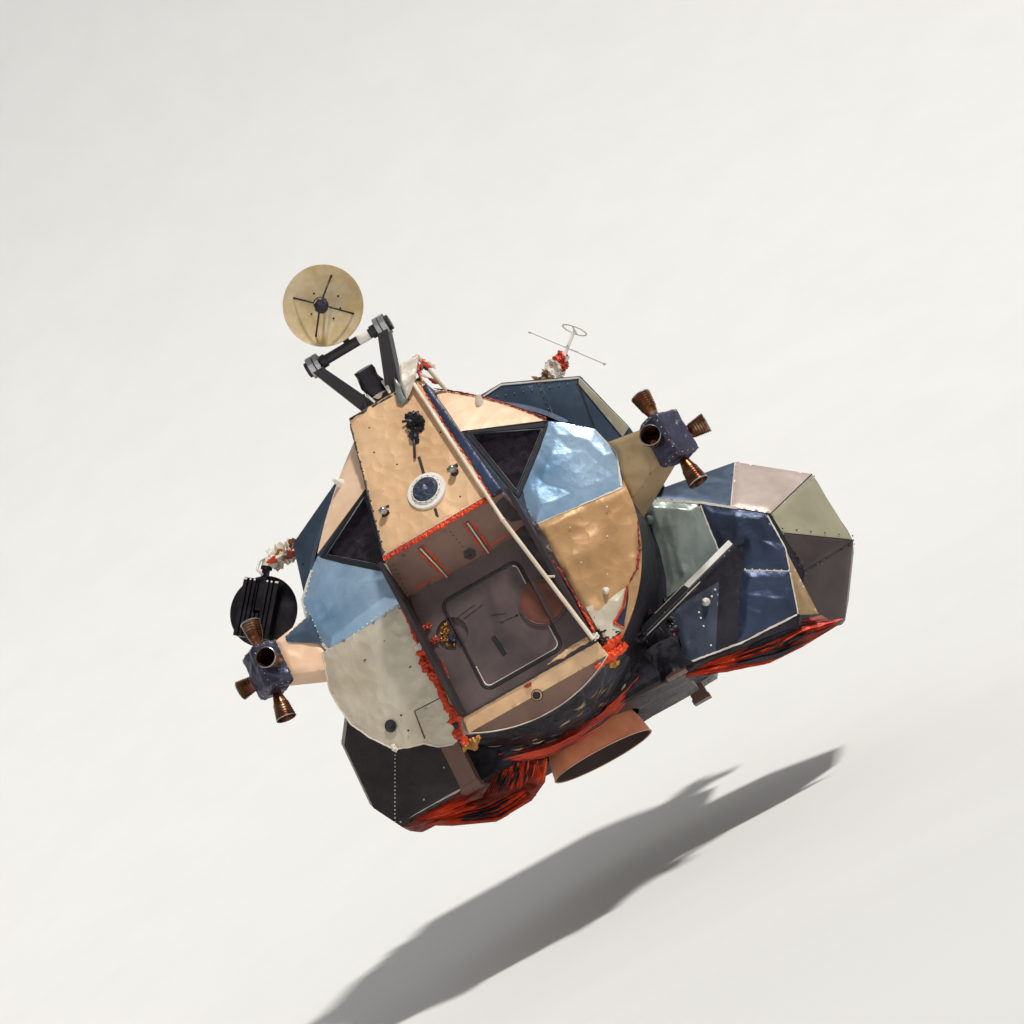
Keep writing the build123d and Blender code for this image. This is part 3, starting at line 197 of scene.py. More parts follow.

# Paints and metals: name, colour, deeper colour, metallic (metals alone), roughness
# The hatch sheet is painted darker than the undercut's colour, which it really shares: painted shade of the recess it
# lies in
HATCH_SHADED = painted("hatch_sheet_painted_shade", (92, 76, 75), (70, 57, 58), (0.42, 0.56))
TAPE = painted("white_tape", (226, 218, 204), (190, 176, 156), (0.4, 0.6))
DARK_TAPE = painted("dark_tape", (58, 50, 50), (38, 32, 33), (0.4, 0.6))
CREAM_PAINT = painted("cream_paint", (226, 212, 190), (200, 180, 152), (0.35, 0.5))
BLACK_PAINT = painted("black_paint", (40, 38, 44), (24, 22, 27), (0.35, 0.5))
WHITE_PAINT = painted("white_paint", (240, 238, 232), (222, 216, 206), (0.4, 0.55))
RUBBER = painted("gasket_rubber", (24, 22, 26), (14, 13, 16), (0.4, 0.55))
BRONZE = metal("bronze", (122, 84, 56), (52, 34, 27), 0.9, (0.2, 0.36))
COPPER_EDGE = metal("copper_edge", (240, 190, 160), (208, 140, 108), 0.3, (0.4, 0.55))
STEEL = metal("bare_steel", (186, 188, 192), (128, 128, 132), 0.95, (0.18, 0.35))
GREY_METAL = metal("grey_metal", (130, 128, 128), (92, 90, 92), 0.8, (0.35, 0.5))
DARK_METAL = metal("dark_metal", (58, 54, 58), (34, 31, 35), 0.8, (0.3, 0.5))


def bell_finish():
    """The ablative engine bell: copper coloured, darker towards its throat, and darkest on its inner face."""
    g = Graph("bell_copper")
    split = g.node("ShaderNodeSeparateXYZ", Vector=g.place)
    level = g.node("ShaderNodeCombineXYZ", X=split.outputs["X"], Y=split.outputs["Y"])
    outward = g.node("ShaderNodeVectorMath")
    outward.operation = "DOT_PRODUCT"
    g.set(outward.inputs[0], level.outputs["Vector"])
    g.set(outward.inputs[1], g.node("ShaderNodeTexCoord").outputs["Normal"])
    patch = g.noise(4, 5)
    copper = g.ramp(patch, (0.3, (232, 136, 100)), (0.65, (252, 166, 124)))
    paint = g.mix(g.range(split.outputs["Z"], 0, 0.6, 0.1, 0.6), copper, linear((150, 84, 66)))
    paint = g.mix(g.range(outward.outputs["Value"], 1, 0, -0.02, 0.02), paint, linear((60, 42, 38)))
    return g.finish(Base_Color=paint, Metallic=0.2, Roughness=g.range(patch, 0.42, 0.6),
                    Normal=g.bump(g.noise(60, 6), 0.0008))


def dish_finish():
    """The radar dish: a cream reflector, unevenly warm, with a fine honeycomb print."""
    g = Graph("dish_cream")
    patch = g.noise(7, 5, 0.6)
    return g.finish(Base_Color=g.ramp(patch, (0.3, (196, 166, 112)), (0.7, (222, 204, 170))), Metallic=0.25,
                    Roughness=g.range(patch, 0.35, 0.5), Normal=g.bump(g.cells(160), 0.0006))


def nozzle_finish():
    """A thrust chamber's bell, heat tinted, with fine turned rings."""
    g = Graph("nozzle_bronze")
    patch = g.noise(9, 5)
    paint = g.ramp(patch, (0.3, (44, 29, 25)), (0.5, (124, 72, 44)), (0.72, (186, 168, 148)))
    return g.finish(Base_Color=paint, Metallic=0.92, Roughness=g.range(patch, 0.2, 0.38),
                    Normal=g.bump(g.noise(90, 4), 0.0005))


def glass_finish():
    """Dark coated window glass with faint streaks."""
    g = Graph("window_glass")
    smear = g.noise(12, 5, 0.6, 1)
    return g.finish(Base_Color=g.ramp(smear, (0.4, (34, 26, 34)), (0.62, (72, 56, 72))), IOR=1.5,
                    Roughness=g.range(smear, 0.05, 0.14), Transmission_Weight=0.35, Normal=g.bump(smear, 0.0004))


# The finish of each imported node. Columns: finish, starts of the names of its nodes. The first row that fits counts
FINISHES = [
    (glass_finish(), "windows"), (SLATE, "window_panel nose_side"), (PEACH, "brow thruster_fairing_starboard"),
    (OCHRE, "cheek_port"), (CREAM, "cheek_starboard"), (TAN, "nose_panel sill"),
    (TAUPE, "lip nose_undercut interstage"), (CHAR, "recess oxidizer"),
    (BLACK, "nose_back cabin_barrel engine_bay fuel_tank aft_heat"),
    (HATCH_SHADED, "forward_hatch forward_bulkhead overhead_hatch"), (STEEL_BLUE, "cabin_roof midsection"),
    (GREY_METAL, "cabin_floor ascent_engine docking_tunnel"), (NAVY, "cabin_rear aft_equipment"),
    (bell_finish(), "engine_bell"), (HOUSING, "thruster_housing"), (nozzle_finish(), "thruster_nozzles"),
    (KHAKI, "thruster_fairing"), (BLACK_PAINT, "radar_pedestal radar_yoke loose_strip"),
    (dish_finish(), "radar_dish"),
    (WHITE_FOIL, "antenna_arm"), (DARK_METAL, "antenna_yoke antenna_dish"), (CREAM_PAINT, "handrail"),
    (WHITE_PAINT, "tracking_light inflight_cones vhf_antenna"), (STEEL, "nose_lamps"),
]
for node_name, node in NODES.items():
    node.data.materials.clear()
    node.data.materials.append(next(made for made, starts in FINISHES if node_name.startswith(tuple(starts.split()))))


# Geometry helpers

def piece(name, points, faces, finish, body="stage", smooth=False):
    """A mesh object that rides on a body."""
    mesh = bpy.data.meshes.new(name)
    mesh.from_pydata([tuple(p) for p in points], [], faces)
    mesh.materials.append(finish)
    mesh.validate()
    if smooth:
        mesh.shade_smooth()
    made = bpy.data.objects.new(name, mesh)
    bpy.context.scene.collection.objects.link(made)
    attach(made, body)
    return made


def through(a, b, c):
    """A face plane through three points: a point on it and its normal towards the front."""
    a, b, c = Vector(a), Vector(b), Vector(c)
    normal = (b - a).cross(c - a).normalized()
    return a, (normal if normal.y < 0 else -normal)


def on(plane, x, z, lift=0.0):
    """The point of a face plane at a place in the front view."""
    origin, normal = plane
    y = origin.y - ((x - origin.x) * normal.x + (z - origin.z) * normal.z) / normal.y
    return Vector((x, y, z)) + normal * lift


def at(plane, outline, lift=0.0):
    """Front view corners laid on a face plane."""
    return [on(plane, x, z, lift) for x, z in outline]


def mirror(outline):
    """The outline on the starboard side."""
    return [(-x, z) for x, z in outline]


def close(path):
    return list(path) + [path[0]]


FRONT = Vector((0, -1, 0))
NOSE = through((0.48, -2, 1.547), (-0.48, -2, 1.547), (0.315, -1.6, 2.8))
UNDERCUT = through((0.48, -2, 1.547), (-0.48, -2, 1.547), (0.54, -1.72, 1.3))
CHEEK = through((0.54, -1.72, 1.3), (1.225, -1.605, 1.25), (0.753, -1.605, 0.352))
CHEEK_STARBOARD = through((-0.54, -1.72, 1.3), (-1.225, -1.605, 1.25), (-0.753, -1.605, 0.352))
WINDOW = through((0.54, -1.72, 1.3), (1.225, -1.605, 1.25), (1.08, -1.605, 1.905))
WINDOW_STARBOARD = through((-0.54, -1.72, 1.3), (-1.225, -1.605, 1.25), (-1.08, -1.605, 1.905))
SILL = through((-0.56, -1.72, 0.35), (0.56, -1.72, 0.35), (0.56, -1.69, 0.2325))
FAIRING = through((-1.15, -1.54, 1.645), (-1.15, -1.54, 1.125), (-1.51, -1.66, 1.385))
HATCH_FACE, BULGE_FRONT, MID_FRONT = ((Vector((0, y, 0)), FRONT) for y in (-1.72, -0.65, -0.685))


def straightened(loop):
    """A loop without the corners that lie on straight runs."""
    kept = []
    for i, corner in enumerate(loop):
        before, after = loop[i - 1], loop[(i + 1) % len(loop)]
        if (corner - before).normalized().dot((after - corner).normalized()) < 0.99995:
            kept.append(corner)
    return kept


def span(loop):
    """The length round a loop."""
    return sum((b - a).length for a, b in zip(loop, loop[1:] + loop[:1]))


def facet(node_name, direction, near=None):
    """The outline loops of a CAD node's flat face that looks along a direction, and its normal."""
    mesh = NODES[node_name].data
    want = Vector(direction).normalized()
    groups = {}
    for face in mesh.polygons:
        n = face.normal
        key = (round(n.x, 2), round(n.y, 2), round(n.z, 2), round(n.dot(face.center), 2))
        groups.setdefault(key, []).append(face)

    def score(faces):
        area = sum(f.area for f in faces)
        value = faces[0].normal.dot(want) * 10 + min(area, 0.5)
        if near:
            centre = sum((f.center * f.area for f in faces), Vector()) / area
            value -= 4 * (centre - Vector(near)).length
        return value

    chosen = max(groups.values(), key=score)
    normal = sum((f.normal * f.area for f in chosen), Vector()).normalized()
    edges = {}
    for face in chosen:
        corners = [tuple(round(c, 5) for c in mesh.vertices[i].co) for i in face.vertices]
        for a, b in zip(corners, corners[1:] + corners[:1]):
            if (b, a) in edges:
                del edges[(b, a)]
            else:
                edges[(a, b)] = True
    following = {}
    for a, b in edges:
        following.setdefault(a, []).append(b)
    loops = []
    while following:
        start = here = next(iter(following))
        loop = []
        while here in following:
            loop.append(Vector(here))
            ahead = following[here].pop()
            if not following[here]:
                del following[here]
            here = ahead
            if here == start:
                break
        loops.append(loop)
    loops = [straightened(loop) for loop in loops if len(loop) > 2]
    loops.sort(key=lambda loop: -span(loop))
    return loops, normal


def inside(points, loops):
    """Which 2D points lie in the first of the 2D loops and outside the others, its holes."""
    x, y = points[:, 0], points[:, 1]
    found = np.ones(len(points), bool)
    for number, loop in enumerate(loops):
        odd = np.zeros(len(points), bool)
        for (ax, ay), (bx, by) in zip(loop, loop[1:] + loop[:1]):
            if ay != by:
                odd ^= ((ay > y) != (by > y)) & (x < (bx - ax) * (y - ay) / (by - ay) + ax)
        found &= ~odd if number else odd
    return found


def edge_distance(points, loops):
    """How far each 2D point is from the nearest edge of the loops."""
    best = np.full(len(points), 9.0)
    for loop in loops:
        for a, b in zip(loop, loop[1:] + loop[:1]):
            a, b = np.array(a), np.array(b)
            run = b - a
            share = np.clip(((points - a) @ run) / max(run @ run, 1e-12), 0, 1)
            best = np.minimum(best, np.linalg.norm(points - a - share[:, None] * run, axis=1))
    return best


def folded(points, wave, seed, folds=7):
    """Heights from 0 to 1 of foil that was crumpled and smoothed out: flat facets between sharp creases."""
    rng = np.random.default_rng(seed)
    turn = rng.uniform(0, pi)
    axes = np.array([[cos(turn), sin(turn)], [-sin(turn), cos(turn)]]) * [[0.65], [1.2]]
    points = points @ axes.T
    height = np.zeros(len(points))
    for size, share in ((wave, 1), (wave * 0.4, 0.04 * folds)):
        low, high = points.min(0) - 2 * size, points.max(0) + 2 * size
        knots = np.array([(x, y) for x in np.arange(low[0], high[0], size) for y in np.arange(low[1], high[1], size)])
        knots += rng.uniform(-0.42, 0.42, knots.shape) * size
        found = geometry.delaunay_2d_cdt([Vector(k) for k in knots], [], [], 0, 1e-6)
        corners, levels = np.array([tuple(p) for p in found[0]]), rng.uniform(0, 1, len(found[0]))
        for face in found[2]:
            a, b, c = corners[face[0]], corners[face[1]], corners[face[2]]
            near = np.nonzero(((points >= np.minimum(np.minimum(a, b), c))
                               & (points <= np.maximum(np.maximum(a, b), c))).all(1))[0]
            area = (b[0] - a[0]) * (c[1] - a[1]) - (c[0] - a[0]) * (b[1] - a[1])
            if not len(near) or abs(area) < 1e-12:
                continue
            d = points[near] - a
            u = (d[:, 0] * (c[1] - a[1]) - (c[0] - a[0]) * d[:, 1]) / area
            v = ((b[0] - a[0]) * d[:, 1] - d[:, 0] * (b[1] - a[1])) / area
            held = (u >= 0) & (v >= 0) & (u + v <= 1)
            level = levels[face[0]] * (1 - u - v) + levels[face[1]] * u + levels[face[2]] * v
            height[near[held]] += share * level[held]
    spread = height.max() - height.min()
    return (height - height.min()) / (spread if spread > 0 else 1)


def skin(name, loops, normal, finish, body="stage", rise=0.010, wave=0.3, grid=0.022, seed=1,
         lift=0.0015, folds=7, rim=0.05):
    """A crumpled foil sheet over a flat face, flat at its edges, where it's taped down."""
    normal = normal.normalized()
    origin = loops[0][0]
    across = (loops[0][1] - loops[0][0]).normalized()
    upwards = normal.cross(across)
    flat_loops = [[((p - origin).dot(across), (p - origin).dot(upwards)) for p in loop] for loop in loops]
    edge_points, edges = [], []
    for loop in flat_loops:
        first = len(edge_points)
        for a, b in zip(loop, loop[1:] + loop[:1]):
            steps = max(1, ceil(((b[0] - a[0]) ** 2 + (b[1] - a[1]) ** 2) ** 0.5 / grid))
            for step in range(steps):
                share = step / steps
                edge_points.append((a[0] + (b[0] - a[0]) * share, a[1] + (b[1] - a[1]) * share))
        count = len(edge_points) - first
        edges += [(first + i, first + (i + 1) % count) for i in range(count)]
    outer = np.array(flat_loops[0])
    low, high = outer.min(0), outer.max(0)
    lattice = np.array([(x + (0.5 * grid if row % 2 else 0), y)
                        for row, y in enumerate(np.arange(low[1], high[1], grid * 0.87))
                        for x in np.arange(low[0], high[0], grid)]).reshape(-1, 2)
    lattice = lattice[inside(lattice, flat_loops)]
    lattice = lattice[edge_distance(lattice, flat_loops) > grid * 0.45]
    flat = [Vector(p) for p in edge_points] + [Vector(p) for p in lattice]
    found = geometry.delaunay_2d_cdt(flat, edges, [], 0, 1e-6)
    flat = np.array([tuple(p) for p in found[0]])
    keep = inside(np.array([flat[list(f)].mean(0) for f in found[2]]), flat_loops)
    faces = [tuple(f) for f, k in zip(found[2], keep) if k]
    fade = np.clip(edge_distance(flat, flat_loops) / rim, 0, 1)
    height = lift + rise * fade * (0.15 + 0.85 * folded(flat, wave, seed, folds))
    points = [origin + across * u + upwards * v + normal * float(h) for (u, v), h in zip(flat, height)]
    return piece(name, points, faces, finish, body, smooth=True)


def resampled(path, step):
    """Points along a polyline, evenly spaced."""
    path = [Vector(p) for p in path]
    points = [path[0]]
    for a, b in zip(path, path[1:]):
        count = max(1, ceil((b - a).length / step))
        points += [a.lerp(b, (i + 1) / count) for i in range(count)]
    return points


def spaced(path, gap):
    """Places along a polyline, a gap apart, its ends included."""
    return [p for a, b in zip(path, path[1:]) for p in resampled([a, b], gap)]


def frames_along(points, up):
    """For each point of a path: two directions across it."""
    made = []
    for i in range(len(points)):
        ahead = (points[min(i + 1, len(points) - 1)] - points[max(i - 1, 0)]).normalized()
        side = ahead.cross(up)
        if side.length < 1e-4:
            side = ahead.orthogonal()
        side.normalize()
        made.append((side, side.cross(ahead)))
    return made


def circle(side, rise, count):
    """Directions all round, from two that are square to each other."""
    return [side * cos(2 * pi * k / count) + rise * sin(2 * pi * k / count) for k in range(count)]


def quads(rings, count, base=0, wrap=True, caps=True):
    """The faces between neighbouring rings of points, and the two that close the ends."""
    faces = [(base + r * count + k, base + r * count + (k + 1) % count, base + (r + 1) * count + (k + 1) % count,
              base + (r + 1) * count + k) for r in range(rings - 1) for k in range(count if wrap else count - 1)]
    if caps:
        last = base + (rings - 1) * count
        faces += [tuple(range(base, base + count))[::-1], tuple(range(last, last + count))]
    return faces


def crumple(name, path, width, tall, finish, up=FRONT, body="stage", rough=0.45, step=0.012, sides=12,
            seed=0, pitch=18):
    """A crumpled foil roll along a path, as wide and tall as said, with torn folds."""
    points = resampled(path, step)
    widths = width if isinstance(width, tuple) else (width, width)
    verts = []
    for i, (point, (side, rise)) in enumerate(zip(points, frames_along(points, Vector(up)))):
        place = i / max(1, len(points) - 1) * (len(widths) - 1)
        j = min(int(place), len(widths) - 2)
        wide = widths[j] + (widths[j + 1] - widths[j]) * (place - j)
        for offset in circle(side * (wide / 2), rise * (tall / 2), sides):
            there = (point + offset) * pitch
            jag = noise.noise(there + Vector((seed * 7.3, 0, 0)))
            jag += 0.6 * noise.noise(there * 2.7 + Vector((0, seed * 3.1, 5)))
            verts.append(point + offset * (1 + rough * 1.6 * jag))
    return piece(name, verts, quads(len(points), sides), finish, body)


def tape(name, paths, normal, width, finish, body="stage", thick=0.002, ragged=0.0, step=0.05):
    """Flat strips along polylines on a face, one mesh."""
    normal = Vector(normal).normalized()
    verts, faces = [], []
    for path in paths:
        points = resampled(path, step)
        faces += quads(len(points), 4, len(verts))
        for point, (side, _) in zip(points, frames_along(points, normal)):
            left = side * (width / 2 * (1 + ragged * noise.noise(point * 30)))
            right = side * (width / 2 * (1 + ragged * noise.noise(point * 30 + Vector((0, 0, 9)))))
            verts += [point - left - normal * 0.002, point - left + normal * thick,
                      point + right + normal * thick, point + right - normal * 0.002]
    return piece(name, verts, faces, finish, body)


def studs(name, places, normal, radius, finish, body="stage", tall=0.5, sides=8):
    """Low domed rivets at places on a face, one mesh."""
    n = Vector(normal).normalized()
    u = n.orthogonal().normalized()
    ways = circle(u, n.cross(u), sides)
    verts, faces = [], []
    for place in places:
        base = len(verts)
        for share, high in ((1, -0.1), (1, 0.35), (0.6, 0.85)):
            verts += [Vector(place) + way * radius * share + n * radius * tall * high for way in ways]
        top = len(verts)
        verts.append(Vector(place) + n * radius * tall)
        faces += quads(3, sides, base, caps=False)
        faces += [(top - sides + k, top - sides + (k + 1) % sides, top) for k in range(sides)]
    return piece(name, verts, faces, finish, body, smooth=True)


def tube(name, path, radius, finish, body="stage", sides=10, closed=False, step=None):
    """A plain round tube along a path."""
    points = resampled(path, step) if step else [Vector(p) for p in path]
    crossways = frames_along(points, Vector((0.31, -0.93, 0.2)))
    verts = [point + way * radius for point, pair in zip(points, crossways) for way in circle(*pair, sides)]
    faces = quads(len(points) + closed, sides, caps=not closed)
    if closed:
        faces = [tuple(i % len(verts) for i in face) for face in faces]
    return piece(name, verts, faces, finish, body, smooth=True)


def lathe(name, place, axis, profile, finish, body="stage", steps=40, smooth=True):
    """A turned piece: its profile lists radius and height along the axis."""
    n = Vector(axis).normalized()
    u = n.orthogonal().normalized()
    ways = circle(u, n.cross(u), steps)
    verts = [Vector(place) + way * radius + n * high for radius, high in profile for way in ways]
    made = piece(name, verts, quads(len(profile), steps, caps=False), finish, body)
    if smooth:
        made.data.shade_smooth()
        made.data.set_sharp_from_angle(angle=radians(40))
    return made


def lump(name, place, size, finish, body="stage", rough=0.35, seed=0, detail=4, pitch=2.2):
    """A crumpled ball of foil."""
    mesh = bmesh.new()
    bmesh.ops.create_icosphere(mesh, subdivisions=detail, radius=1)
    points = []
    for vert in mesh.verts:
        jag = noise.noise(vert.co * pitch + Vector((seed * 5.1, 0, 0)))
        jag += 0.5 * noise.noise(vert.co * pitch * 2.6 + Vector((0, seed, 0)))
        points.append(Vector(place) + vert.co * (1 + rough * jag) * Vector(size))
    faces = [tuple(v.index for v in f.verts) for f in mesh.faces]
    mesh.free()
    return piece(name, points, faces, finish, body)


def bar(name, start, end, wide, thick, finish, body="stage"):
    """A straight bar with bevelled edges, its broad side to the front."""
    start, end = Vector(start), Vector(end)
    ahead = (end - start).normalized()
    side = ahead.cross(FRONT).normalized()
    rise = side.cross(ahead)
    mesh = bmesh.new()
    bmesh.ops.create_cube(mesh, size=1)
    for vert in mesh.verts:
        vert.co = ((start + end) / 2 + ahead * vert.co.x * (end - start).length + side * vert.co.y * wide
                   + rise * vert.co.z * thick)
    bmesh.ops.bevel(mesh, geom=mesh.edges[:], offset=min(0.002, thick / 3), segments=2, affect="EDGES", profile=0.5)
    mesh.verts.index_update()
    points = [v.co.copy() for v in mesh.verts]
    faces = [tuple(v.index for v in f.verts) for f in mesh.faces]
    mesh.free()
    return piece(name, points, faces, finish, body)


def blanket(name, place, across, upwards, finish, rise, wave, seed, folds=8):
    """A crumpled sheet over a curved place: place(u, v) gives its points, in metres along u and v."""
    flat = np.array([(u, v) for v in upwards for u in across])
    points = []
    for (u, v), high in zip(flat, folded(flat, wave, seed, folds)):
        here = place(u, v)
        out = (place(u + 0.002, v) - here).cross(place(u, v + 0.002) - here).normalized()
        points.append(here + out * (rise * float(high)))
    return piece(name, points, quads(len(upwards), len(across), wrap=False, caps=False), finish, smooth=True)


def blade(name, path, width, finish, seed):
    """A long torn leaf of foil, pointed at both ends."""
    crumple(name, path, (width * 0.15, width * 0.8, width, width * 0.75, width * 0.1), 0.014, finish, (0, -1, -0.35),
            rough=0.5, step=0.010, seed=seed, pitch=20)


def strands(name, place, count, width, finish, seed, bend=0.05, length=(0.45, 0.9)):
    """Long torn ribbons of foil, each with a ridge. They lie on place(u, v), and run along u."""
    rng = np.random.default_rng(seed)
    verts, faces, steps = [], [], 12
    for row in range(count):
        v = (row + rng.uniform(0.1, 0.9)) / count
        long = rng.uniform(*length)
        start = rng.uniform(0, 1 - long)
        wide, drift, swing = width * rng.uniform(0.4, 1.4), rng.uniform(-bend, bend), rng.uniform(-bend, bend)
        lean, high = rng.uniform(-0.6, 0.6), rng.uniform(0.35, 0.8)
        faces += quads(steps + 1, 3, len(verts))
        for step in range(steps + 1):
            share = step / steps
            u = start + long * share
            here = place(u, v + drift * share + swing * sin(pi * share))
            ahead = (place(u + 0.01, v) - place(u - 0.01, v)).normalized()
            across = (place(u, v + 0.01) - place(u, v - 0.01)).normalized()
            out = across.cross(ahead).normalized()
            out = out if out.y < 0 else -out
            jag = noise.noise(here * 24 + Vector((seed, row, 0)))
            half = wide * (0.06 + 0.5 * sin(pi * share) ** 0.7) * (1 + 0.7 * jag)
            verts += [here - across * half, here + across * half * lean + out * half * high * 2, here + across * half]
    return piece(name, verts, faces, finish)


def along(path, share):
    """The point at a share of a polyline's length, straight on past its ends."""
    path = [Vector(p) for p in path]
    runs = [(b - a).length for a, b in zip(path, path[1:])]
    left = share * sum(runs)
    for i, run in enumerate(runs):
        if left <= run or i == len(runs) - 1:
            return path[i].lerp(path[i + 1], left / run)
        left -= run


def between(first, second):
    """place(u, v) of a sheet whose edges at v = 0 and v = 1 are two polylines."""
    return lambda u, v: along(first, u).lerp(along(second, u), v)


def arc(centre, radius, first, last, step, normal=FRONT, lift=0.0):
    """Points round a circle, from one angle in degrees up to another, off its plane by a lift."""
    across = Vector((1, 0, 0))
    rise = normal.cross(across)
    return [centre + (across * cos(radians(a)) + rise * sin(radians(a))) * radius + normal * lift
            for a in range(first, last, step)]


# Pieces laid on a face plane, given by their places in the front view and a lift off the plane

def patch(name, plane, outline, lift, finish, body="stage", **more):
    return skin(name, [at(plane, outline, lift)], plane[1], finish, body, **more)


def band(name, plane, paths, lift, width, finish, body="stage", **more):
    return tape(name, [at(plane, path, lift) for path in paths], plane[1], width, finish, body, **more)


def roll(name, plane, path, lift, width, tall, finish, **more):
    return crumple(name, at(plane, path, lift), width, tall, finish, plane[1], **more)


def knot(name, plane, place, lift, size, finish, **more):
    return lump(name, on(plane, *place, lift), size, finish, **more)


def rivets(name, plane, rows, lift, gap, radius, finish):
    """Rivets a gap apart along polylines."""
    studs(name, [p for row in rows for p in spaced(at(plane, row, lift), gap)], plane[1], radius, finish)


# Stage: a plain pale floor that curves up into a backdrop, a soft key from above and to port, and fill
def stage():
    floor_z, bend, start = -1.9, 40, -8
    profile = [(-40, floor_z), (start, floor_z)]
    profile += [(start + bend * sin(radians(a)), floor_z + bend * (1 - cos(radians(a)))) for a in range(1, 91)]
    profile.append((start + bend, 90))
    mesh = bpy.data.meshes.new("floor")
    mesh.from_pydata([(x, y, z) for y, z in profile for x in (-80, 80)], [],
                     [(2 * i, 2 * i + 1, 2 * i + 3, 2 * i + 2) for i in range(len(profile) - 1)])
    mesh.shade_smooth()
    g = Graph("floor")
    mesh.materials.append(g.finish(Base_Color=g.ramp(g.noise(0.6, 3), (0.3, (224, 223, 220)), (0.7, (227, 226, 223))),
                                   Roughness=0.85))
    floor = bpy.data.objects.new("floor", mesh)
    bpy.context.scene.collection.objects.link(floor)
    world = bpy.data.worlds.new("studio")
    bpy.context.scene.world = world
    world.use_nodes = True
    world.node_tree.nodes["Background"].inputs["Color"].default_value = (0.94, 0.97, 1, 1)
    world.node_tree.nodes["Background"].inputs["Strength"].default_value = 0.24
    for name, direction, power, angle, colour in [
            ("key", (-0.52, 0.46, -0.74), 3.1, 5, (1, 0.98, 0.95)),
            ("front", (0.35, 0.9, 0.15), 0.35, 50, (0.97, 0.98, 1)),
            ("rear", (0.3, -0.9, -0.5), 0.9, 40, (1, 1, 1))]:
        lamp = bpy.data.lights.new(name, "SUN")
        lamp.energy = power
        lamp.angle = radians(angle)
        lamp.color = colour
        lamp_object = bpy.data.objects.new(name, lamp)
        bpy.context.scene.collection.objects.link(lamp_object)
        lamp_object.rotation_mode = "QUATERNION"
        lamp_object.rotation_quaternion = Vector(direction).to_track_quat("-Z", "Y")


stage()

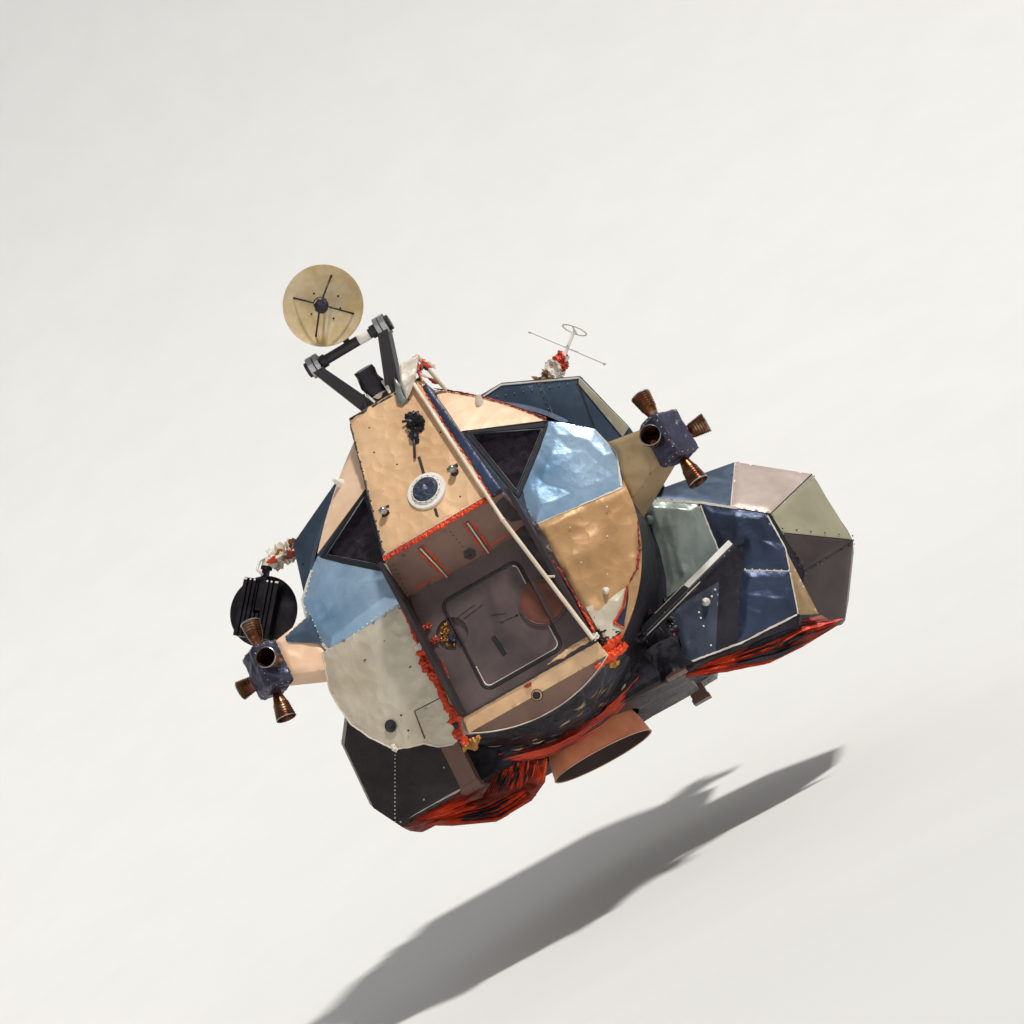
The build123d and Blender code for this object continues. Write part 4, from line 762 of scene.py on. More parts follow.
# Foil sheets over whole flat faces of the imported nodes
# Columns: name, node, direction, finish, rise, wave, seed, folds, and where the face lies if that has to be said
SKINS = [
    ("nose", "nose_panel", (0, -0.95, 0.3), TAN, 0.014, 0.34, 3, 5),
    ("brow_port", "brow_port", (0.1, -0.9, 0.3), PEACH, 0.012, 0.34, 4, 4),
    ("brow_starboard", "brow_starboard", (-0.1, -0.9, 0.3), PEACH, 0.012, 0.34, 5, 4),
    ("cheek_port", "cheek_port", (0.15, -1, -0.05), OCHRE, 0.05, 0.24, 6, 8),
    ("cheek_starboard", "cheek_starboard", (-0.15, -1, -0.05), CREAM, 0.022, 0.34, 7, 5),
    ("undercut", "nose_undercut", (0, -0.6, -0.7), TAUPE, 0.008, 0.22, 10, 5),
    ("sill", "sill_panel", (0, -1, -0.2), TAN, 0.008, 0.2, 11, 4),
    ("bulge_top", "fuel_tank_bulge", (0.4, -0.35, 0.75), PINK, 0.012, 0.36, 12, 3, (2.2, -0.4, 1.2)),
    ("bulge_outer", "fuel_tank_bulge", (0.5, -0.8, 0.1), SAND, 0.012, 0.36, 13, 3, (2.4, -0.4, 0.8)),
    # The bulge's lower face: dark brown foil as painted shade
    ("bulge_lower", "fuel_tank_bulge", (0.5, -0.8, -0.4), BROWN_SHADE, 0.012, 0.36, 14, 3, (2.2, -0.4, 0.2)),
    ("bulge_inner", "fuel_tank_bulge", (0.1, -0.8, 0.5), STEEL_BLUE, 0.014, 0.2, 16, 6, (1.8, -0.5, 1.2)),
    ("bulge_crown", "fuel_tank_bulge", (0, 0, 1), NAVY, 0.012, 0.5, 17, 6),
    ("mid_front", "midsection_front_bulkhead", (0, -1, 0), STEEL_BLUE, 0.006, 0.6, 20, 4),
    ("mid_rear", "midsection_rear_bulkhead", (0, 1, 0), STEEL_BLUE, 0.006, 0.6, 21, 4),
    ("mid_top_port", "midsection_shell", (0.45, 0, 0.9), STEEL_BLUE, 0.008, 0.6, 22, 5, (1.1, 0, 2.65)),
    ("mid_top_starboard", "midsection_shell", (-0.45, 0, 0.9), STEEL_BLUE, 0.008, 0.6, 23, 5, (-1.1, 0, 2.65)),
    ("mid_side_port", "midsection_shell", (0.97, 0, 0.2), STEEL_BLUE, 0.012, 0.4, 24, 6, (1.4, 0, 2.2)),
    ("mid_side_starboard", "midsection_shell", (-0.97, 0, 0.2), STEEL_BLUE, 0.012, 0.4, 25, 6, (-1.4, 0, 2.2)),
    ("ox_front", "oxidizer_tank_bulge", (0, -1, 0), CHAR, 0.016, 0.25, 26, 6),
    ("ox_side", "oxidizer_tank_bulge", (-1, 0, 0), BLACK, 0.012, 0.5, 27, 5),
    ("ox_top", "oxidizer_tank_bulge", (-0.8, 0, 0.5), CHAR, 0.012, 0.5, 28, 5),
    ("bulge_keel", "fuel_tank_bulge", (0, 0.1, -1), CHAR, 0.05, 0.14, 30, 8),
    ("ox_keel", "oxidizer_tank_bulge", (0, 0.1, -1), BRICK, 0.05, 0.12, 31, 9),
    ("bay_foot", "engine_bay", (0, 0, -1), CHAR, 0.02, 0.3, 32, 8),
    ("mid_low_port", "midsection_shell", (1, 0, 0), STEEL_BLUE, 0.01, 0.45, 46, 5, (1.5, 0, 1.6)),
    ("mid_low_starboard", "midsection_shell", (-1, 0, 0), STEEL_BLUE, 0.01, 0.45, 47, 5, (-1.5, 0, 1.6)),
    ("bulge_side", "fuel_tank_bulge", (1, 0, 0), BLACK, 0.014, 0.4, 48, 6, (2.54, 0.1, 0.7)),
    ("shield", "aft_heat_shield", (0, 1, 0), BLACK, 0.014, 0.45, 33, 7),
    ("aft_port", "aft_equipment_bay", (1, 0, 0), NAVY, 0.014, 0.45, 34, 7),
    ("aft_starboard", "aft_equipment_bay", (-1, 0, 0), NAVY, 0.014, 0.45, 35, 7),
    ("aft_top", "aft_equipment_bay", (0, 0, 1), STEEL_BLUE, 0.01, 0.6, 36, 5),
    ("aft_slope_port", "aft_equipment_bay", (0.9, 0, 0.4), STEEL_BLUE, 0.01, 0.6, 37, 5, (1.1, 1.2, 2.1)),
    ("aft_slope_starboard", "aft_equipment_bay", (-0.9, 0, 0.4), STEEL_BLUE, 0.01, 0.6, 38, 5, (-1.1, 1.2, 2.1)),
    ("aft_foot", "aft_equipment_bay", (0, 0, -1), CHAR, 0.03, 0.2, 39, 8),
]
OUTLINES = {}
for name, node_name, direction, finish, rise, wave, seed, folds, *near in SKINS:
    loops, normal = facet(node_name, direction, *near)
    skin(f"sheet_{name}", loops, normal, finish, rise=rise, wave=wave, seed=seed, folds=folds)
    OUTLINES[name] = loops[0]

# Seams and their rivets where two of the sheets meet. Columns: name, the two sheets, finish, radius
SEAMS = [
    ("bulge_high", "bulge_top", "bulge_outer", RUBBER, 0.005),
    ("bulge_low", "bulge_outer", "bulge_lower", RUBBER, 0.005),
    ("bulge_white", "bulge_inner", "bulge_top", TAPE, 0.005),
    ("mid_port", "mid_top_port", "mid_side_port", TAPE, 0.005),
    ("mid_starboard", "mid_top_starboard", "mid_side_starboard", TAPE, 0.005),
    ("ox_top", "ox_side", "ox_top", TAPE, 0.005),
    ("aft_port", "aft_port", "aft_slope_port", TAPE, 0.006),
    ("aft_starboard", "aft_starboard", "aft_slope_starboard", TAPE, 0.006),
    ("aft_high_port", "aft_top", "aft_slope_port", TAPE, 0.006),
    ("aft_high_starboard", "aft_top", "aft_slope_starboard", TAPE, 0.006),
]
for name, first, second, finish, radius in SEAMS:
    shared = [p for p in OUTLINES[first] if any((p - q).length < 0.004 for q in OUTLINES[second])]
    edge = max(((a, b) for a in shared for b in shared), key=lambda pair: (pair[0] - pair[1]).length)
    tube(f"seam_{name}", edge, radius, finish, step=0.05)
    ahead = (edge[1] - edge[0]).normalized()
    inwards = sum(OUTLINES[second], Vector()) / len(OUTLINES[second]) - edge[0]
    inwards = (inwards - ahead * inwards.dot(ahead)).normalized()
    out = inwards.cross(ahead)
    out = out if out.dot(edge[0] - Vector((0, 0, 1.2))) > 0 else -out
    studs(f"seam_{name}_rivets", [p + inwards * 0.025 + out * 0.003 for p in spaced(edge, 0.07)], out, 0.006,
          GREY_METAL, sides=6)

# The dark sheet that reaches up over the port bulge's outer face, painted shade like the bulge's lower face, and the
# seam along its upper edge
BULGE_OUTER = Vector((0.6577, -0.7532, -0.0032))
DARK_CORNERS = [Vector(p) + BULGE_OUTER * 0.013
                for p in ((2.079, -0.65, 0.588), (2.536, -0.25, 0.352), (2.0775, -0.65, 0.263))]
skin("patch_bulge_outer", [DARK_CORNERS], BULGE_OUTER, BROWN_SHADE, seed=15, rim=0.03)
tube("seam_bulge_outer", DARK_CORNERS[:2], 0.005, RUBBER, step=0.05)
studs("bulge_outer_rivets", [p + Vector((0.01, 0, 0.035)) for p in spaced(DARK_CORNERS[:2], 0.16)], BULGE_OUTER,
      0.007, DARK_METAL)

# Pale blue foil beside each window, from its corner to the ridge
BLUE_OUTLINE = [(0.545, 1.3), (1.222, 1.252), (1.308, 1.503), (1.254, 1.745), (1.085, 1.895), (0.99, 1.962),
                (0.85, 1.81), (0.59, 1.575), (0.556, 1.45)]
patch("blue_port", WINDOW, BLUE_OUTLINE, 0.002, BLUE, rise=0.06, wave=0.25, seed=52, grid=0.013, folds=6, rim=0.1)
patch("blue_starboard", WINDOW_STARBOARD, mirror(BLUE_OUTLINE), 0.002, BLUE, rise=0.04, wave=0.26, seed=41,
      grid=0.013, folds=5, rim=0.1)

# Window surrounds: a black gasket, and a thin light bead along its inner edge
PANE = [(0.425, 2.185), (0.965, 1.94), (0.543, 1.55)]
PANE_BEAD = [(0.455, 2.15), (0.92, 1.933), (0.551, 1.602)]
for side, plane, outer, bead in (("port", WINDOW, PANE, PANE_BEAD),
                                 ("starboard", WINDOW_STARBOARD, mirror(PANE), mirror(PANE_BEAD))):
    band(f"gasket_{side}", plane, [close(outer)], 0.002, 0.024, RUBBER, thick=0.005)
    tube(f"bead_{side}", at(plane, close(bead), 0.004), 0.004, GREY_METAL)

# Patches laid on one face. Columns: name, plane, lift, finish, rise, wave, seed, outline in the front view
PATCHES = [
    ("patch_cheek_port", CHEEK, 0.044, CREAM, 0.02, 0.16, 61,
     [(0.575, 0.605), (0.7, 0.575), (0.9, 0.6), (0.8, 0.48), (0.7, 0.415), (0.735, 0.345), (0.62, 0.325),
      (0.575, 0.435)]),
    ("patch_tan_corner", BULGE_FRONT, 0.003, KHAKI, 0.02, 0.14, 67,
     [(2.05, 0.7), (2.035, 0.48), (1.875, -0.01), (2, -0.075)]),
    ("patch_grey_green", BULGE_FRONT, 0.003, SAGE, 0.06, 0.2, 62,
     [(1.33, 1.34), (1.645, 1.115), (1.63, 0.945), (1.6, 0.72), (1.29, 0.625), (1.08, 0.6), (1.145, 0.73),
      (1.215, 0.96), (1.265, 1.27)]),
    ("patch_navy", BULGE_FRONT, 0.003, NAVY, 0.045, 0.22, 63,
     [(1.66, 1.105), (2.045, 0.79), (2.035, 0.48), (1.985, 0.31), (1.69, 0.49), (1.785, 0.67), (1.605, 0.72),
      (1.63, 0.945)]),
    ("patch_low", BULGE_FRONT, 0.003, NAVY, 0.04, 0.14, 64,
     [(1.685, 0.495), (1.985, 0.31), (1.875, 0), (1.37, 0.03), (1.635, 0.445)]),
    ("patch_inner_low", BULGE_FRONT, 0.003, SLATE, 0.03, 0.15, 65,
     [(1.045, 0.5), (1.485, 0.51), (1.2, 0.06), (0.93, 0.1)]),
]
for name, plane, lift, finish, rise, wave, seed, outline in PATCHES:
    patch(name, plane, outline, lift, finish, rise=rise, wave=wave, seed=seed, grid=0.013, folds=6, rim=0.06)
# The sand coloured edge of the midsection's front
patch("patch_mid_edge", MID_FRONT, [(1.335, 2.5), (1.475, 1.92), (1.4, 1.88), (1.31, 2.45)], 0.012, SAND, rise=0.006,
      seed=66)

# Edge tapes. Columns: name, plane, width, finish, ragged, then polylines in the front view
TAPES = [
    ("tape_ridge_port", WINDOW, 0.01, TAPE, 0.9, [(0.545, 1.297), (1.222, 1.25)]),
    ("tape_ridge_starboard", CHEEK_STARBOARD, 0.016, TAPE, 0.3, [(-0.6, 1.29), (-1.222, 1.245)]),
    ("tape_blue_port", WINDOW, 0.016, TAPE, 0.4, [(1.218, 1.262), (1.3, 1.503), (1.25, 1.72)]),
    ("tape_blue_starboard", WINDOW_STARBOARD, 0.018, TAPE, 0.4,
     [(-1.218, 1.262), (-1.3, 1.503), (-1.25, 1.735), (-1.08, 1.895)]),
    ("tape_midsection", MID_FRONT, 0.014, TAPE, 0.3, [(0.56, 2.775), (0.765, 2.785), (1.335, 2.497), (1.472, 1.925)]),
    ("seam_midsection", MID_FRONT, 0.008, GREY_METAL, 0.5, [(1.05, 2.63), (0.98, 2.1)]),
    ("seam_midsection_dark", MID_FRONT, 0.014, BLACK_PAINT, 0.2, [(1.31, 2.48), (1.22, 1.9)]),
    ("tape_bulge_top", BULGE_FRONT, 0.018, TAPE, 0.5, [(1.33, 1.345), (1.665, 1.115), (1.885, 0.935)]),
    ("tape_bulge_green", BULGE_FRONT, 0.01, TAPE, 0.8, [(1.655, 1.1), (1.63, 0.945), (1.6, 0.72)]),
    ("tape_bulge_navy", BULGE_FRONT, 0.01, TAPE, 0.8, [(1.69, 0.49), (1.985, 0.31)]),
    ("tape_bulge_edge", BULGE_FRONT, 0.01, TAPE, 0.8, [(2.052, 0.77), (2.04, 0.48), (1.87, 0)]),
    ("tape_bulge_foot", BULGE_FRONT, 0.014, TAPE, 0.8, [(1.86, 0), (1.4, 0.02), (0.95, 0.09)]),
    ("tape_ox_foot", BULGE_FRONT, 0.012, TAPE, 0.8, [(-0.95, 0.09), (-1.55, 0.1)], [(-1.18, 0.12), (-1.2, 1)]),
]
for name, plane, width, finish, ragged, *paths in TAPES:
    band(name, plane, paths, 0.004, width, finish, ragged=ragged, step=0.02, thick=0.004)

# Nose: orange foil along the lower edge, a dark strip along the port edge, thin torn edges, and the light's ring
roll("nose_edge_low", NOSE, [(-0.485, 1.556), (0.4, 1.556)], 0.004, 0.05, 0.018, ORANGE, rough=0.5, step=0.006,
     sides=14, pitch=60)
# A light tube just above the orange foil: painted highlight along the foil's crumpled edge
tube("nose_edge_highlight", at(NOSE, [(-0.47, 1.572), (0.39, 1.572)], 0.014), 0.004, TAPE)
NOSE_CUT = [(0.4, 1.555), (0.362, 1.983), (0.322, 2.315), (0.296, 2.7)]
patch("nose_port_strip", NOSE, NOSE_CUT + [(0.331, 2.7), (0.483, 1.549)], 0.01, NAVY, rise=0.006, wave=0.15,
      seed=137, grid=0.012, rim=0.01)
roll("nose_edge_port", NOSE, NOSE_CUT, 0.006, 0.014, 0.012, ORANGE, rough=0.9, pitch=50)
roll("nose_edge_corner", NOSE, [(0.402, 1.55), (0.486, 1.55)], 0.004, 0.034, 0.02, BLACK, rough=0.4, step=0.006)


def arc_through(start, middle, end, count):
    """Points on the circle through three points, from the first one to the last."""
    first, last = middle - start, end - start
    axis = first.cross(last)
    centre = start + (axis.cross(first) * last.length_squared
                      + last.cross(axis) * first.length_squared) / (2 * axis.length_squared)
    turn = (start - centre).angle(end - centre)
    return [centre + Matrix.Rotation(turn * i / count, 3, axis) @ (start - centre) for i in range(count + 1)]


BROW_EDGE = [Vector(p) for p in ((0.345, -1.45, 2.71), (0.696, -1.51, 2.372), (0.985, -1.626, 1.975))]
crumple("brow_edge_port", [p + Vector((0, -0.012, 0.008)) for p in arc_through(*BROW_EDGE, 24)], 0.014, 0.012, BRICK,
        rough=0.6, pitch=40)
roll("nose_edge_port_dark", NOSE, [(x + 0.01, z) for x, z in NOSE_CUT], 0.004, 0.014, 0.01, BLACK, rough=0.9,
     pitch=40)
roll("nose_edge_starboard", NOSE, [(-0.476, 1.57), (-0.325, 2.74)], 0, 0.014, 0.012, DARK_TAPE, rough=0.6)
roll("nose_edge_top", NOSE, [(-0.31, 2.78), (0.31, 2.78)], 0, 0.024, 0.016, DARK_TAPE, rough=0.8)
LIGHT = on(NOSE, 0, 1.857)
lathe("light_ring", LIGHT, NOSE[1],
      [(0.1455, 0), (0.1475, 0.01), (0.1475, 0.026), (0.144, 0.031), (0.124, 0.0325), (0.121, 0.029), (0.113, 0.029),
       (0.109, 0.036), (0.106, 0.046), (0.101, 0.047)], WHITE_PAINT, steps=64)
skin("light_foil", [arc(LIGHT, 0.098, 0, 360, 10, NOSE[1], 0.045)], NOSE[1], SLATE, rise=0.03, wave=0.045,
     grid=0.004, seed=71, folds=8, rim=0.012)
studs("light_screws", arc(LIGHT, 0.109, 12, 372, 24, NOSE[1], 0.044), NOSE[1], 0.005, DARK_METAL)
band("light_straps", NOSE, [[(0, 1.7), (-0.01, 1.62)], [(0.03, 2), (0.05, 2.16)]], 0.006, 0.022, DARK_TAPE,
     thick=0.005)
knot("nose_fitting", NOSE, (0.135, 2.43), 0.03, (0.065, 0.055, 0.085), BLACK, rough=0.55, seed=3)
knot("nose_fitting_low", NOSE, (0.085, 2.33), 0.02, (0.035, 0.035, 0.06), BLACK, rough=0.5, seed=5, detail=3)
for letter, start, end in (("a", (0.05, 2.49), (0.11, 2.47)), ("b", (0.19, 2.5), (0.15, 2.45)),
                           ("c", (0.1, 2.36), (0.02, 2.16))):
    tube(f"nose_fitting_peg_{letter}", [on(NOSE, *start, 0.035), on(NOSE, *end, 0.02)], 0.01, BLACK_PAINT)
for i, (x, z) in enumerate(((-0.34, 1.869), (0.238, 1.88))):
    knot(f"lamp_collar_{i}", NOSE, (x, z), 0.012, (0.03, 0.022, 0.03), BLACK, rough=0.4, seed=10 + i, detail=3)
    band(f"lamp_plate_{i}", NOSE, [[(x - 0.04, z + 0.05), (x + 0.045, z + 0.045)]], 0.008, 0.022, DARK_TAPE,
         thick=0.008)
nose_studs = [p for row in ([(-0.46, 1.6), (-0.32, 2.74)], [(0.44, 1.6), (0.3, 2.7)])
              for p in spaced(at(NOSE, row, 0.004), 0.1)]
nose_studs += at(NOSE, [(-0.2, 2.62), (0.16, 2.66), (-0.12, 2.2), (0.27, 2.25), (-0.29, 2.05), (-0.1, 1.65),
                        (0.2, 1.68), (-0.3, 1.66), (0.34, 1.95), (-0.24, 2.4)], 0.008)
studs("nose_studs", nose_studs, NOSE[1], 0.007, DARK_METAL)

# Undercut: orange flanks on the two ribs, a hexagonal fitting and taped seams
for name, front, back in (("rib_a", (-0.224, 1.509), (-0.184, 1.3)), ("rib_b", (0.156, 1.501), (0.161, 1.3))):
    for flank in (-1, 1):
        roll(f"{name}_flank_{flank + 1}", UNDERCUT, [(x + flank * 0.026, z) for x, z in (front, back)], 0.004, 0.014,
             0.01, ORANGE, rough=0.8, step=0.008)
    tube(f"{name}_light", at(UNDERCUT, [front, back], 0.016), 0.006, TAPE)
band("nose_edge_under", UNDERCUT, [[(-0.478, 1.534), (0.478, 1.534)]], 0.002, 0.037, TAUPE, ragged=0.15, step=0.02,
     thick=0.003)
lathe("hex_fitting", on(UNDERCUT, 0.045, 1.345, 0.004), UNDERCUT[1],
      [(0.05, 0), (0.05, 0.008), (0.034, 0.01), (0.03, 0.016), (0.016, 0.016), (0.014, 0.006), (0.001, 0.006)],
      DARK_TAPE, steps=6, smooth=False)
band("undercut_seams", UNDERCUT, [[(-0.43, 1.325), (-0.25, 1.325)], [(0.19, 1.33), (0.45, 1.33)]], 0.005, 0.01,
     ORANGE, ragged=0.5, step=0.02, thick=0.003)
patch("undercut_corner", UNDERCUT, [(0.47, 1.52), (0.35, 1.5), (0.42, 1.38), (0.505, 1.36)], 0.006, CHAR, rise=0.008,
      wave=0.1, seed=72)
rivets("undercut_studs", UNDERCUT, [[(-0.45, 1.5), (-0.49, 1.33)], [(0.02, 1.5), (0.03, 1.4)]], 0.006, 0.05, 0.005,
       DARK_METAL)

# Hatch: a beaded seal round the leaf, the slot plate, the copper cover and the valve in its pocket


def leaf_outline(inset):
    """Points round the rounded outline of the hatch leaf."""
    middle_z, half_x, half_z, corner = 0.7845, 0.32, 0.3655, 0.07
    points = []
    for turn, (sx, sz) in enumerate(((1, 1), (-1, 1), (-1, -1), (1, -1))):
        for a in range(0, 91, 15):
            t = radians(90 * turn + a)
            points.append(Vector((sx * (half_x - corner) + (corner - inset) * cos(t), -1.72,
                                  middle_z + sz * (half_z - corner) + (corner - inset) * sin(t))))
    return points


tube("hatch_seal", resampled(close(leaf_outline(0.014)), 0.008), 0.009, BLACK_PAINT, "forward_hatch", sides=6)
bead_places = [p for p in resampled(close(leaf_outline(0.026)), 0.011) if p.z < 0.62 or p.x > 0.27]
studs("hatch_beads", bead_places, FRONT, 0.0052, TAPE, "forward_hatch", tall=1, sides=6)
bar("hatch_slot", (-0.074, -1.722, 0.584), (-0.088, -1.722, 0.742), 0.034, 0.006, BLACK_PAINT, "forward_hatch")
bar("hatch_slot_lip", (-0.052, -1.722, 0.586), (-0.066, -1.722, 0.744), 0.006, 0.01, GREY_METAL, "forward_hatch")
band("hatch_lines", HATCH_FACE, [[(-0.26, 0.99), (-0.1, 1.01)], [(-0.22, 0.96), (-0.05, 0.98)],
                                 [(-0.03, 0.88), (0.07, 0.84)], [(0, 0.8), (0.12, 0.79)]], 0, 0.008, DARK_TAPE,
     "forward_hatch", thick=0.0025, ragged=0.6, step=0.01)
studs("hatch_buttons", at(HATCH_FACE, [(0.165, 0.775), (0.13, 0.79), (0.19, 0.72)]), FRONT, 0.01, DARK_METAL,
      "forward_hatch")
COVER_X, COVER_Z, COVER_RADIUS = 0.338, 0.781, 0.16
for name, body, low, high in (("cover_leaf", "forward_hatch", 96, 264), ("cover_fixed", "stage", 276, 444)):
    rim = [Vector((COVER_X + COVER_RADIUS * cos(radians(a)), -1.7345, COVER_Z + COVER_RADIUS * sin(radians(a))))
           for a in range(low, high + 1, 6)]
    tube(f"{name}_rim", rim, 0.005, COPPER, body, sides=6)
    sheet = [p + Vector((COVER_X - p.x, 0, COVER_Z - p.z)) * 0.06 for p in rim]
    skin(f"{name}_foil", [sheet], FRONT, COPPER, body, rise=0.004, wave=0.05, grid=0.008, seed=81, folds=6, rim=0.02)
VALVE = Vector((-0.34, -1.72, 0.908))
for i, (low, high, radius) in enumerate(((80, 200, 0.085), (95, 215, 0.06), (100, 190, 0.04), (210, 262, 0.085))):
    path = arc(VALVE + Vector((0, 0.012, 0)), radius, low, high, 8)
    for name, body, part in (("valve_gold", "stage", [p for p in path if p.x < -0.332]),
                             ("valve_gold_leaf", "forward_hatch", [p for p in path if p.x > -0.322])):
        if len(part) > 1:
            crumple(f"{name}_{i}", part, 0.02, 0.022, GOLD, body=body, rough=0.8, step=0.006, sides=8, seed=i,
                    pitch=50)
lump("valve_body", VALVE + Vector((-0.03, 0.014, -0.035)), (0.032, 0.018, 0.04), BLACK, rough=0.6, seed=21)

# Recess round the hatch: a light corner and a beaded edge to starboard, and a dark web along the port edge
patch("recess_corner", HATCH_FACE, [(-0.565, 1.62), (-0.525, 1.6), (-0.508, 1.42), (-0.548, 1.44)], 0.022, WHITE_FOIL,
      rise=0.006, wave=0.08, seed=82, grid=0.012)
tube("recess_bead", at(HATCH_FACE, [(-0.475, 1.43), (-0.527, 1.05), (-0.515, 0.78), (-0.52, 0.42)], 0.004), 0.005,
     BRICK)
patch("rail_port_web", HATCH_FACE, [(0.352, 1.49), (0.431, 1.143), (0.479, 0.81), (0.525, 0.5), (0.572, 0.375),
                                    (0.572, 1.29), (0.5, 1.48)], 0.028, CHAR, rise=0.02, wave=0.1, seed=83)
roll("rail_port_red", HATCH_FACE, [(0.36, 1.44), (0.452, 0.98), (0.53, 0.45)], 0.036, 0.01, 0.01, BRICK, rough=0.9,
     seed=8, step=0.01, sides=8)
# A tan strip along the foot of the recess at the hatch's lower port corner: painted light, where sunlight reaches
# below the nose's shadow
patch("recess_lit_strip", HATCH_FACE, [(0.36, 0.405), (0.52, 0.405), (0.52, 0.37), (0.34, 0.37)], 0.006, TAN, rise=0.004,
      wave=0.05, seed=84)

# Torn foil round the hatch and at the port foot
# Columns: name, plane, lift, widths, height, finish, roughness, seed, sides, path in the front view
TORN = [
    ("torn_starboard_high", HATCH_FACE, 0.012, (0.02, 0.034, 0.03), 0.024, ORANGE, 0.6, 1, 12,
     [(-0.552, 1.41), (-0.578, 1.14), (-0.59, 0.92)]),
    ("torn_starboard_mid", HATCH_FACE, 0.014, (0.04, 0.085, 0.06, 0.075, 0.05), 0.034, ORANGE, 0.9, 2, 14,
     [(-0.584, 0.94), (-0.598, 0.82), (-0.59, 0.67)]),
    ("torn_starboard_low", HATCH_FACE, 0.012, (0.045, 0.052, 0.085), 0.022, ORANGE, 0.45, 3, 14,
     [(-0.592, 0.68), (-0.606, 0.5), (-0.585, 0.36)]),
    ("torn_starboard_foot", HATCH_FACE, 0.01, (0.075, 0.05, 0.08), 0.03, ORANGE, 0.9, 4, 14,
     [(-0.592, 0.37), (-0.625, 0.26), (-0.618, 0.15)]),
    ("torn_starboard_gold", HATCH_FACE, 0.012, (0.05, 0.06, 0.03), 0.03, GOLD, 0.7, 5, 12,
     [(-0.64, 0.15), (-0.575, 0.138), (-0.49, 0.165)]),
    ("torn_starboard_dark", HATCH_FACE, 0.03, 0.03, 0.016, BLACK, 0.9, 6, 12, [(-0.603, 0.33), (-0.632, 0.2)]),
    ("recess_leaf", HATCH_FACE, 0.012, (0.012, 0.045, 0.008), 0.01, BRICK, 0.4, 7, 12,
     [(-0.495, 0.78), (-0.505, 0.63)]),
    ("torn_port_edge", HATCH_FACE, 0.034, (0.014, 0.03, 0.016, 0.022), 0.02, BRICK, 0.9, 9, 12,
     [(0.51, 1.2), (0.548, 0.9), (0.56, 0.66), (0.566, 0.46)]),
    ("torn_port_red", HATCH_FACE, 0.046, (0.01, 0.022, 0.014), 0.014, ORANGE, 0.9, 10, 12,
     [(0.553, 0.64), (0.56, 0.5), (0.556, 0.4)]),
    # Painted light: a tan roll along the foot of the hatch, where sunlight reaches below the nose's shadow
    ("sill_lit_strip", HATCH_FACE, 0.004, (0.015, 0.04, 0.03), 0.018, TAN, 0.7, 44, 12,
     [(0.16, 0.372), (0.33, 0.378), (0.5, 0.376)]),
    ("torn_port_foot_0", CHEEK, 0.018, (0.02, 0.085, 0.03), 0.036, ORANGE, 0.8, 30, 14,
     [(0.42, 0.215), (0.55, 0.245), (0.68, 0.275)]),
    ("torn_port_foot_1", CHEEK, 0.024, (0.02, 0.06, 0.03), 0.036, ORANGE, 0.8, 31, 14,
     [(0.43, 0.2), (0.56, 0.21), (0.7, 0.245)]),
    ("torn_port_foot_2", CHEEK, 0.03, (0.02, 0.05, 0.02), 0.036, ORANGE, 0.8, 32, 14,
     [(0.5, 0.275), (0.6, 0.3), (0.71, 0.315)]),
]
for name, plane, lift, widths, tall, finish, rough, seed, sides, path in TORN:
    roll(name, plane, path, lift, widths, tall, finish, rough=rough, seed=seed, sides=sides)

# Crumpled knots of foil on the face. Where a row has several places, their names end in a number
# Columns: name, plane, lift, size, finish, roughness, seed, detail, pitch, places in the front view
KNOTS = [
    ("torn_starboard_knot", HATCH_FACE, 0.035, (0.03, 0.02, 0.02), WHITE_FOIL, 0.6, 22, 3, 2.2, [(-0.588, 0.935)]),
    ("recess_scrap", HATCH_FACE, 0.012, (0.034, 0.016, 0.024), BRICK, 0.8, 23, 3, 3,
     [(-0.478, 1.045), (-0.47, 0.925)]),
    ("torn_port_knot", HATCH_FACE, 0.045, (0.026, 0.018, 0.024), WHITE_FOIL, 0.7, 25, 3, 2.2, [(0.548, 0.372)]),
    ("cheek_starboard_scrap", CHEEK_STARBOARD, 0.03, (0.018, 0.012, 0.03), WHITE_FOIL, 0.6, 26, 3, 2.2,
     [(-1.105, 0.425)]),
    ("torn_port_dark", CHEEK, 0.016, (0.05, 0.028, 0.034), BLACK, 0.8, 33, 4, 3,
     [(0.6, 0.335), (0.665, 0.365), (0.575, 0.395)]),
    ("torn_port_gold", CHEEK, 0.02, (0.03, 0.02, 0.022), GOLD, 0.8, 36, 3, 2.2, [(0.56, 0.165)]),
    ("cheek_scuff", CHEEK_STARBOARD, 0.03, (0.012, 0.006, 0.005), DARK_TAPE, 0.5, 40, 2, 2.2,
     [(-1, 1.08), (-0.8, 1.12), (-0.72, 0.86)]),
    ("sill_scrap", SILL, 0.006, (0.024, 0.012, 0.012), BRICK, 0.8, 43, 3, 2.2, [(-0.03, 0.315)]),
]
for name, plane, lift, size, finish, rough, seed, detail, pitch, places in KNOTS:
    for i, place in enumerate(places):
        knot(f"{name}_{i}" if len(places) > 1 else name, plane, place, lift, size, finish, rough=rough, seed=seed + i,
             detail=detail, pitch=pitch)

# Cheeks: the dark port and the taped panel in the starboard one, the torn lower corner and edge of the port one
lathe("cheek_port_hole", on(CHEEK_STARBOARD, -1.052, 0.574, 0.034), CHEEK_STARBOARD[1],
      [(0.044, -0.004), (0.046, 0.003), (0.036, 0.005), (0.03, 0.001), (0.001, -0.002)], BLACK_PAINT, steps=24)
studs("cheek_starboard_screw", at(CHEEK_STARBOARD, [(-0.946, 0.6), (-0.95, 0.48)], 0.034), CHEEK_STARBOARD[1], 0.008,
      DARK_METAL)
APRON = [(-1.272, 1.3), (-1.352, 1.038), (-1.349, 0.886), (-1.322, 0.734), (-1.234, 0.577), (-1.119, 0.425),
         (-1.011, 0.378), (-0.897, 0.345), (-0.812, 0.272), (-0.703, 0.23), (-0.575, 0.245), (-0.575, 1.27)]
patch("cheek_starboard_apron", CHEEK_STARBOARD, APRON, 0.014, CREAM, rise=0.02, seed=88, folds=5, grid=0.018,
      rim=0.08)
